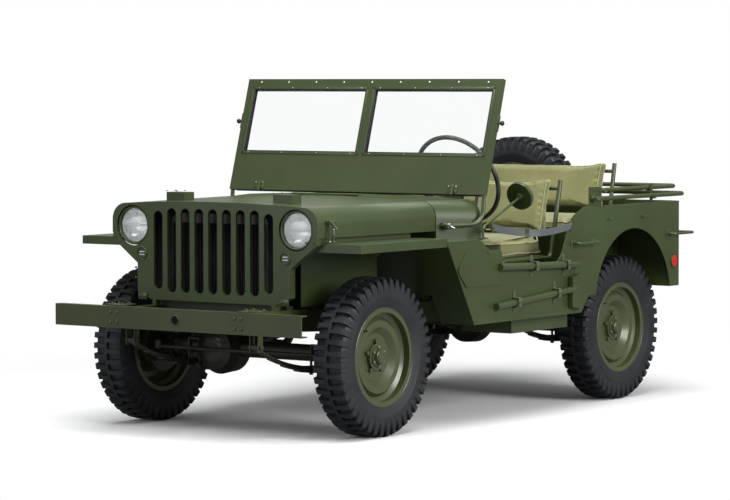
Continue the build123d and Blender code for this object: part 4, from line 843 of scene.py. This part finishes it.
# %% Sides
fittings = bmesh.new()
reflectors = bmesh.new()
rivets = bmesh.new()
straps = bmesh.new()
tool_straps = bmesh.new()
for side in (-1, 1):
    skin = side * BODY_HALF
    out = (0, side, 0)
    spot = at(-2.385, skin, 0.671)
    turned(fittings, [
        (0.0, 0.0350), (0.006, 0.0345), (0.0085, 0.0325), (0.0080, 0.0300), (0.0040, 0.0295),
        (0.0, 0.0295), (0.0, 0.0350),
    ], spot, out, 40)
    turned(reflectors, [
        (0.0005, 0.0), (0.0005, 0.0297), (0.0050, 0.0290), (0.0068, 0.0200), (0.0074, 0.0),
    ], spot, out, 40)
    for x in (-1.420, -1.600):
        soft_box(fittings, at(x, skin + side * 0.0015, 0.800), (0.046, 0.004, 0.030), 0.001)
        for step in (-0.016, 0.016):
            rivet(rivets, at(x + step, skin + side * 0.0035, 0.800), out, 0.0040)
    soft_box(fittings, at(-2.320, skin + side * 0.0015, 0.810), (0.034, 0.004, 0.046), 0.001)
    for step in (-0.016, 0.016):
        rivet(rivets, at(-2.320, skin + side * 0.0035, 0.810 + step), out, 0.0040)
    # Rivets along the sill, the front of the cowl side and the rear quarter
    for number in range(12):
        rivet(rivets, at(-0.700 - number * 0.070, skin, 0.486), out, 0.0045)
    for number in range(5):
        rivet(rivets, at(-1.560 - number * 0.012, skin, 0.520 + number * 0.062), out, 0.0042)
    for number in range(6):
        rivet(rivets, at(-1.640 - number * 0.140, skin, 0.938), out, 0.0042)
    # Footman loops for the top's lashing
    for x, z in ((-1.760, 0.905), (-2.080, 0.905), (-0.690, 0.790)):
        soft_box(fittings, at(x, skin + side * 0.001, z), (0.052, 0.003, 0.016), 0.0008)
        soft_box(fittings, at(x, skin + side * 0.0085, z), (0.034, 0.003, 0.012), 0.0010)
        for step in (-0.0155, 0.0155):
            soft_box(fittings, at(x + step, skin + side * 0.005, z), (0.003, 0.008, 0.012), 0.0008)
            rivet(rivets, at(x + step * 1.4, skin + side * 0.0025, z), out, 0.0034)
    # Safety strap: a band that sags a little between its two eyes
    start = at(-0.712, skin + side * 0.010, 0.905)
    end = at(-1.392, skin + side * 0.008, 0.884)
    rows = []
    for number in range(15):
        share = number / 14
        place = start.lerp(end, share) + Vector((0, 0, -0.030 * 4 * share * (1 - share)))
        twist = 0.004 * sin(share * 9)
        rows.append([
            straps.verts.new(place + Vector((0, side * (thick + twist * rise), rise * 0.016)))
            for thick, rise in ((0.0, 1), (0.0, -1), (0.0022, -1), (0.0022, 1))
        ])
    for near, far in zip(rows, rows[1:]):
        for i in range(4):
            straps.faces.new((near[i], near[(i + 1) % 4], far[(i + 1) % 4], far[i]))
    straps.faces.new(rows[0])
    straps.faces.new(list(reversed(rows[-1])))
    for place in (start, end):
        soft_box(fittings, place + Vector((0, -side * 0.004, 0)), (0.020, 0.010, 0.044), 0.001)
        rivet(rivets, place + Vector((0, side * 0.0025, 0)), out, 0.0055)
    # Buckle: a wire frame with a bar across
    middle = start.lerp(end, 0.42) + Vector((0, side * 0.0035, -0.029))
    for step in (-0.012, 0.0, 0.012):
        rod_between(rivets, middle + Vector((step, 0, -0.020)), middle + Vector((step, 0, 0.020)), 0.0018, 8)
    for step in (-0.020, 0.020):
        rod_between(rivets, middle + Vector((-0.013, 0, step)), middle + Vector((0.013, 0, step)), 0.0018, 8)
# Webbing straps over the handles of the shovel and the axe, on the left side only
STRAP_PLACES = (
    (-1.050, 0.7115, 0.0375), (-1.330, 0.7035, 0.0375), (-0.900, 0.5512, 0.0350), (-1.250, 0.5738, 0.0350),
)
for x, z, reach in STRAP_PLACES:
    soft_box(tool_straps, at(x, BODY_HALF + reach, z), (0.024, 0.0028, 0.040), 0.001)
    for way in (-1, 1):
        soft_box(tool_straps, at(x, BODY_HALF + reach / 2, z + way * 0.0205), (0.024, reach, 0.0028), 0.001)
        soft_box(tool_straps, at(x, BODY_HALF + 0.0015, z + way * 0.034), (0.024, 0.0028, 0.030), 0.001)
        rivet(rivets, at(x, BODY_HALF + 0.003, z + way * 0.040), (0, 1, 0), 0.0042)
    soft_box(rivets, at(x, BODY_HALF + reach + 0.002, z), (0.030, 0.0025, 0.006), 0.0008)
for shape, name, finish, slot in (
    (fittings, "side_fittings", body_paint, "body_paint"),
    (reflectors, "side_reflectors", red_lens, "lamp_glass"),
    (rivets, "side_rivets", chassis_paint, "chassis_paint"), (straps, "door_straps", webbing, "canvas"),
    (tool_straps, "tool_straps", dark_webbing, "canvas"),
):
    piece_from(shape, name, finish, "body")
print("sides: straps, reflectors, loops and rivets")

# %% [markdown]
# The dashboard faces the driver: one large dial with four small ones round it, each a bezel, a dark
# face, pale marks and a needle, with switches and pull knobs below. No numbers are shown.

# %% Dashboard
bezels = bmesh.new()
faces = bmesh.new()
marks = bmesh.new()
DASH_FACE = -0.7405
# Columns: y, z, radius, number of marks less one
DIALS = (
    (0.100, 0.968, 0.040, 12),
    (0.030, 1.000, 0.021, 6),
    (0.170, 1.000, 0.021, 6),
    (0.030, 0.934, 0.021, 6),
    (0.170, 0.934, 0.021, 6),
)
for y, z, radius, count in DIALS:
    place = at(DASH_FACE, y, z)
    turned(bezels, [
        (0.0, radius), (0.006, radius), (0.0085, radius * 0.965), (0.0085, radius * 0.91),
        (0.0050, radius * 0.88),
        (0.0, radius * 0.88), (0.0, radius),
    ], place, (-1, 0, 0), 48)
    turned(faces, [
        (0.0, 0.0), (0.0, radius * 0.90), (0.0025, radius * 0.90), (0.0028, 0.0),
    ], place, (-1, 0, 0), 40)
    turned(faces, [(0.0025, 0.0), (0.0025, 0.0040), (0.0060, 0.0036), (0.0066, 0.0)], place, (-1, 0, 0), 16)
    for number in range(count + 1):
        turn = Matrix.Rotation(radians(-125 + 250 * number / count), 4, "X")
        stand = Matrix.Translation(place) @ turn
        soft_box(marks, (-0.0032, 0, radius * 0.76), (0.0008, 0.0012, radius * 0.16), 0.0002, stand)
    needle = Matrix.Translation(place) @ Matrix.Rotation(radians(-80), 4, "X")
    soft_box(marks, (-0.0045, 0, radius * 0.30), (0.0010, 0.0016, radius * 0.66), 0.0003, needle)
for number, y in enumerate((0.215, 0.245, -0.020, -0.055, -0.090, 0.275)):
    place = at(DASH_FACE, y, 0.925 + 0.012 * (number % 2))
    turned(bezels, [
        (0.0, 0.0), (0.0, 0.0095), (0.0020, 0.0095), (0.0030, 0.0050), (0.0180, 0.0040), (0.0180, 0.0),
    ], place, (-1, 0, 0), 20)
    turned(faces, [
        (0.0170, 0.0), (0.0170, 0.0065), (0.0200, 0.0085), (0.0250, 0.0085), (0.0275, 0.0060),
        (0.0280, 0.0),
    ], place, (-1, 0, 0), 20)
for shape, name, finish, slot in (
    (bezels, "dial_bezels", body_paint, "body_paint"), (faces, "dial_faces", black_paint, "black_steel"),
    (marks, "dial_marks", pale_slot, "lamp_glass"),
):
    piece_from(shape, name, finish, "body")
print("dashboard: 5 dials, 6 knobs")

# %% [markdown]
# Hood: bolts on the rest blocks, a riveted plate on each side, and the springs of the side catches
# with their bolts. The bolts and plates ride on the hood, the catch springs and their bolts on the body.

# %% Hood fittings
hood_bits = bmesh.new()
catch_bits = bmesh.new()
for side in (-1, 1):
    for x in (0.200, 0.260):
        for y in (0.275, 0.331):
            rivet(hood_bits, at(x, side * y, 1.0795), (0, 0, 1), 0.0055)
    soft_box(hood_bits, at(0.262, side * 0.583, 0.9580), (0.052, 0.004, 0.026), 0.001)
    for step in (-0.017, 0.017):
        rivet(hood_bits, at(0.262 + step, side * 0.5855, 0.9580), (0, side, 0), 0.0036)
    for number in range(9):
        turned(catch_bits, [
            (0.0, 0.0062), (0.0012, 0.0074), (0.0024, 0.0062), (0.0012, 0.0052), (0.0, 0.0062),
        ], at(0.262, side * 0.601, 0.905 + number * 0.0030), (0, 0, 1), 16)
    for x in (0.262, 0.290):
        bolt_head(catch_bits, at(x, side * 0.601, 0.8760), (0, 0, 1), 0.0075, 0.005, x * 7)
piece_from(hood_bits, "hood_fittings", chassis_paint, "hood")
piece_from(catch_bits, "catch_springs", steel, "body")
print("hood fittings done")

# %% [markdown]
# Underneath, each spring is clamped to its axle by U-bolts and hangs from shackle bolts. Brake hoses
# run from the frame to the axles, the front ones ending inboard of the knuckles, which turn. The
# mirror gets its glass and rim.

# %% Underside and mirror
clamps = bmesh.new()
for axle_x in (0.0, -WHEELBASE):
    for side in (-1, 1):
        for x in (-0.046, 0.046):
            for y in (-0.030, 0.030):
                foot = at(axle_x + x, side * SPRING_Y + y, 0.262)
                rod_between(clamps, foot, foot + Vector((0, 0, 0.134)), 0.0062)
                bolt_head(clamps, foot + Vector((0, 0, 0.012)), (0, 0, -1), 0.0105, 0.009, x * 20)
        for x in (-0.046, 0.046):
            bend = at(axle_x + x, side * SPRING_Y, 0.394)
            rod_between(clamps, bend - Vector((0, 0.030, 0)), bend + Vector((0, 0.030, 0)), 0.0062)
        soft_box(clamps, at(axle_x, side * SPRING_Y, 0.280), (0.125, 0.078, 0.009), 0.0015)
        for x in (axle_x + 0.490, axle_x - 0.430):
            for way in (-1, 1):
                bolt_head(clamps, at(x, side * SPRING_Y + way * 0.0245, 0.418), (0, way, 0), 0.0130, 0.009, x)
piece_from(clamps, "spring_clamps", grimy, "body")
for side, word in ((1, "left"), (-1, "right")):
    for axle_x, end in ((0.0, "front"), (-WHEELBASE, "rear")):
        inboard = 0.060 if end == "front" else 0.0
        # Columns: x from the axle, y, height
        route = (
            (-0.130, 0.330, 0.470),
            (-0.140, 0.380 - inboard / 2, 0.455),
            (-0.130, 0.430 - inboard, 0.400),
            (-0.075, 0.455 - inboard, 0.376),
            (-0.036, 0.462 - inboard, 0.370),
        )
        tube_through(
            "brake_hose_" + end + "_" + word, [at(axle_x + x, side * y, z) for x, y, z in route],
            0.0055, black_paint, "body",
        )
mirror_rim = bmesh.new()
mirror_glass = bmesh.new()
mirror_way = Vector((-0.936, 0, 0.351))
mirror_place = at(-1.0005, 0.762, 1.0418)
turned(mirror_rim, [
    (-0.0165, 0.0660), (-0.0100, 0.0672), (0.0015, 0.0672), (0.0030, 0.0655), (0.0030, 0.0625),
    (0.0008, 0.0615),
    (0.0005, 0.0610), (-0.0020, 0.0610), (-0.0165, 0.0660),
], mirror_place, mirror_way, 64)
turned(mirror_rim, [
    (0.0165, 0.0), (0.0165, 0.0180), (0.0215, 0.0165), (0.0250, 0.0100), (0.0258, 0.0),
], mirror_place, -mirror_way, 32)
turned(mirror_glass, [
    (0.0001, 0.0), (0.0001, 0.0612), (0.0008, 0.0612), (0.0012, 0.0),
], mirror_place, mirror_way, 64)
soft_box(mirror_rim, at(-0.680, 0.762, 0.8545), (0.044, 0.030, 0.005), 0.001)
for step in (-0.014, 0.014):
    bolt_head(mirror_rim, at(-0.680 + step, 0.762, 0.857), (0, 0, 1), 0.0048, 0.0035)
bolt_head(mirror_rim, at(-0.680, 0.769, 0.899), (0, 1, 0), 0.0065, 0.006)
piece_from(mirror_rim, "mirror_rim", body_paint, "body")
piece_from(mirror_glass, "mirror_glass", mirror_face, "body")
print("underside clamps, 4 hoses and the mirror done")

# %% [markdown]
# Rear and bows: nuts that hold the spare, wing nuts at the bow pins, studs along the top rail and
# the socket for trailer lights.

# %% Rear
rear_bits = bmesh.new()
rear_bright = bmesh.new()
for number in range(5):
    turn = radians(90 + number * 72)
    place = at(-2.632, SPARE_Y + NUT_RING_R * cos(turn), SPARE_Z + NUT_RING_R * sin(turn))
    bolt_head(rear_bright, place, (-1, 0, 0), 0.0115, 0.012, turn)
for side in (-1, 1):
    for x, z in ((-1.700, 1.043), (-1.635, 1.005)):
        bolt_head(rear_bits, at(x, side * 0.785, z), (0, side, 0), 0.0085, 0.008)
        for way in (-1, 1):
            wing_tip = at(x + way * 0.014, side * 0.799, z + way * 0.006)
            rod_between(rear_bits, at(x, side * 0.790, z), wing_tip, 0.0032, 10, 0.0046)
    for number in range(7):
        rivet(rear_bits, at(-1.700 - number * 0.115, side * 0.7735, 0.969), (0, 0, 1), 0.0045)
    for y in (0.320, 0.380):
        for z in (0.500, 0.546):
            bolt_head(rear_bits, at(-2.4885, side * y, z), (-1, 0, 0), 0.0070, 0.005, y * 30)
for number in range(9):
    rivet(rear_bits, at(-2.480, -0.640 + number * 0.160, 0.945), (-1, 0, 0), 0.0045)
for y in (-0.366, -0.214):
    for z in (0.790, 0.860, 0.930):
        bolt_head(rear_bits, at(-2.4905, y, z), (-1, 0, 0), 0.0065, 0.004, z * 9)
for y in (-0.036, 0.036):
    for z in (0.540, 0.600):
        bolt_head(rear_bits, at(-2.4925, y, z), (-1, 0, 0), 0.0085, 0.007, z * 9)
turned(rear_bits, [
    (0.0, 0.0), (0.0, 0.0340), (0.004, 0.0340), (0.005, 0.0270), (0.018, 0.0260), (0.021, 0.0240),
    (0.022, 0.0),
], at(-2.480, 0.350, 0.700), (-1, 0, 0), 32)
piece_from(rear_bits, "rear_fittings", body_paint, "body")
piece_from(rear_bright, "spare_nuts", steel, "body")
print("rear fittings done")

# %% [markdown]
# The seats have cushions of khaki canvas over padding. Each one starts as its solid, a little
# smaller, is remeshed into an even skin and swells under pressure as cloth does. The skin may move
# 24 mm at most, stays flat where it rests on the pan or the tubes, and keeps to its own space.

# %% Cushion skin
SWELL_CAP = 0.024
CROWN = 0.007


def islands_of(shape):
    """The separate solids of a bmesh, as lists of vertices."""
    left = set(shape.verts)
    found = []
    while left:
        queue = [left.pop()]
        island = []
        while queue:
            vert = queue.pop()
            island.append(vert)
            for other in {v for edge in vert.link_edges for v in edge.verts} & left:
                left.discard(other)
                queue.append(other)
        found.append(island)
    return found


def cushion_limits(points):
    """Low and high corner of a cushion, and how far its rear and front lean from bottom to top."""
    low = Vector([min(p[i] for p in points) for i in range(3)])
    high = Vector([max(p[i] for p in points) for i in range(3)])
    if high.z - low.z < 0.2:
        rear, front, upright = (low.x, low.x), (high.x, high.x), False
    else:
        foot = [p.x for p in points if p.z < low.z + 0.002]
        head = [p.x for p in points if p.z > high.z - 0.002]
        rear, front, upright = (min(foot), min(head)), (max(foot), max(head)), True
    return {"low": low, "high": high, "rear": rear, "front": front, "upright": upright}


def apply_modifiers(thing):
    """Replaces an object's mesh by what its modifiers make of it."""
    shaped = thing.evaluated_get(bpy.context.evaluated_depsgraph_get())
    done = bpy.data.meshes.new_from_object(shaped)
    thing.modifiers.clear()
    thing.data = done


def swollen(mesh, name):
    """The mesh remeshed and blown up as cloth under pressure; returns the new object."""
    pad = bpy.data.objects.new(name, mesh)
    bpy.context.collection.objects.link(pad)
    remesh = pad.modifiers.new("even_skin", "REMESH")
    remesh.mode = "VOXEL"
    remesh.voxel_size = 0.008
    apply_modifiers(pad)
    before = [vert.co.copy() for vert in pad.data.vertices]
    cloth = pad.modifiers.new("cloth", "CLOTH")
    cloth.settings.use_pressure = True
    cloth.settings.uniform_pressure_force = 4.0
    cloth.settings.effector_weights.gravity = 0.0
    cloth.point_cache.frame_start = 1
    cloth.point_cache.frame_end = 20
    for number in range(1, 21):
        bpy.context.scene.frame_set(number)
    apply_modifiers(pad)
    bpy.context.scene.frame_set(1)
    for vert, start in zip(pad.data.vertices, before):
        move = vert.co - start
        if move.length > SWELL_CAP:
            vert.co = start + move.normalized() * SWELL_CAP
    return pad


def eased(value, edge, room, way):
    """The value, rounded off so that it passes the edge by less than room, or stops there if room is 0."""
    over = (value - edge) * way
    if over <= 0:
        return value
    return edge + way * room * (1 - exp(-over / room)) if room else edge


def settle(pad, cushions):
    """Keeps each cushion's skin within its limits and gives it the faint folds of pulled canvas."""
    parting = max(c["high"].z for c in cushions if not c["upright"]) + 0.0075
    for vert in pad.data.vertices:
        place = vert.co
        limits = next(c for c in cushions if c["upright"] == (place.z > parting))
        low, high = limits["low"], limits["high"]
        rise = min(1, max(0, (place.z - low.z) / (high.z - low.z)))
        place += vert.normal * 0.0022 * noise_at((place.x * 16, place.y * 42, place.z * 16))
        rear = limits["rear"][0] + (limits["rear"][1] - limits["rear"][0]) * rise
        front = limits["front"][0] + (limits["front"][1] - limits["front"][0]) * rise
        place.x = eased(eased(place.x, rear, 0, -1), front, CROWN, 1)
        place.y = eased(eased(place.y, low.y, 0.002, -1), high.y, 0.002, 1)
        place.z = eased(eased(place.z, low.z, 0, -1), high.z, CROWN, 1)


# %% [markdown]
# A piped seam runs round both faces of every cushion. It is laid along the edges of the cushion's
# space and drawn in to the skin, so that it follows the rounded corners that the swelling left.

# %% Cushions and their seams
cushion_finish = woven("seat_canvas", (0.170, 0.172, 0.060), (0.245, 0.245, 0.098), 240.0, 0.82)
piping_finish = woven("piping_canvas", (0.270, 0.268, 0.130), (0.360, 0.355, 0.190), 300.0, 0.80)


def seam_round(line, skin, corners):
    """Adds a closed seam through the corners, drawn in to the skin, to a curve."""
    points = []
    for start, end in zip(corners, corners[1:] + corners[:1]):
        steps = max(2, round((end - start).length / 0.02))
        for step in range(steps):
            touch, normal = skin.find_nearest(start.lerp(end, step / steps))[:2]
            spot = touch + normal * 0.0008
            if not points or (spot - points[-1]).length > 0.006:
                points.append(spot)
    seam = line.splines.new("NURBS")
    seam.points.add(len(points) - 1)
    for point, place in zip(seam.points, points):
        point.co = (*place, 1)
    seam.order_u = 3
    seam.use_cyclic_u = True


SEAT_BODIES = {"driver": "body", "passenger": "passenger_seat", "rear": "rear_seat"}
for seat_name, seat_body in SEAT_BODIES.items():
    source = bmesh.new()
    source.from_mesh(nodes[seat_name + "_seat_cushions"].data)
    source.transform(nodes[seat_name + "_seat_cushions"].matrix_world)
    bmesh.ops.remove_doubles(source, verts=source.verts, dist=0.00005)
    cushions = []
    for island in islands_of(source):
        limits = cushion_limits([vert.co for vert in island])
        cushions.append(limits)
        centre = (limits["low"] + limits["high"]) / 2
        span = limits["high"] - limits["low"]
        for vert in island:
            for i in range(3):
                inset = 0.014 if span[i] > 0.2 else 0.010
                vert.co[i] = centre[i] + (vert.co[i] - centre[i]) * (1 - 2 * inset / span[i])
    pad_mesh = bpy.data.meshes.new(seat_name + "_pads")
    bmesh.ops.recalc_face_normals(source, faces=source.faces)
    source.to_mesh(pad_mesh)
    source.free()
    pad = swollen(pad_mesh, seat_name + "_pads")
    settle(pad, cushions)
    pad.data.materials.clear()
    pad.data.materials.append(cushion_finish)
    pad.data.shade_smooth()
    smoother = pad.modifiers.new("smoother", "SUBSURF")
    smoother.levels = 1
    smoother.render_levels = 1
    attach(pad, seat_body)
    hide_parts(seat_name + "_seat_cushions")

    skin = BVHTree.FromPolygons(
        [vert.co for vert in pad.data.vertices], [list(face.vertices) for face in pad.data.polygons]
    )
    line = bpy.data.curves.new(seat_name + "_piping", "CURVE")
    line.dimensions = "3D"
    line.bevel_depth = 0.0034
    line.bevel_resolution = 2
    line.resolution_u = 3
    line.render_resolution_u = 3
    line.materials.append(piping_finish)
    for limits in cushions:
        low, high, rear, front = limits["low"], limits["high"], limits["rear"], limits["front"]
        if limits["upright"]:
            faces = [
                [Vector((x[0], low.y, low.z)), Vector((x[0], high.y, low.z)),
                 Vector((x[1], high.y, high.z)), Vector((x[1], low.y, high.z))]
                for x in (rear, front)
            ]
        else:
            faces = [
                [Vector((low.x, low.y, z)), Vector((high.x, low.y, z)),
                 Vector((high.x, high.y, z)), Vector((low.x, high.y, z))]
                for z in (low.z, high.z)
            ]
        for corners in faces:
            seam_round(line, skin, corners)
    piping = bpy.data.objects.new(seat_name + "_piping", line)
    bpy.context.collection.objects.link(piping)
    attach(piping, seat_body)
    print(seat_name, "cushions:", len(pad.data.polygons), "faces,", len(line.splines), "seams")
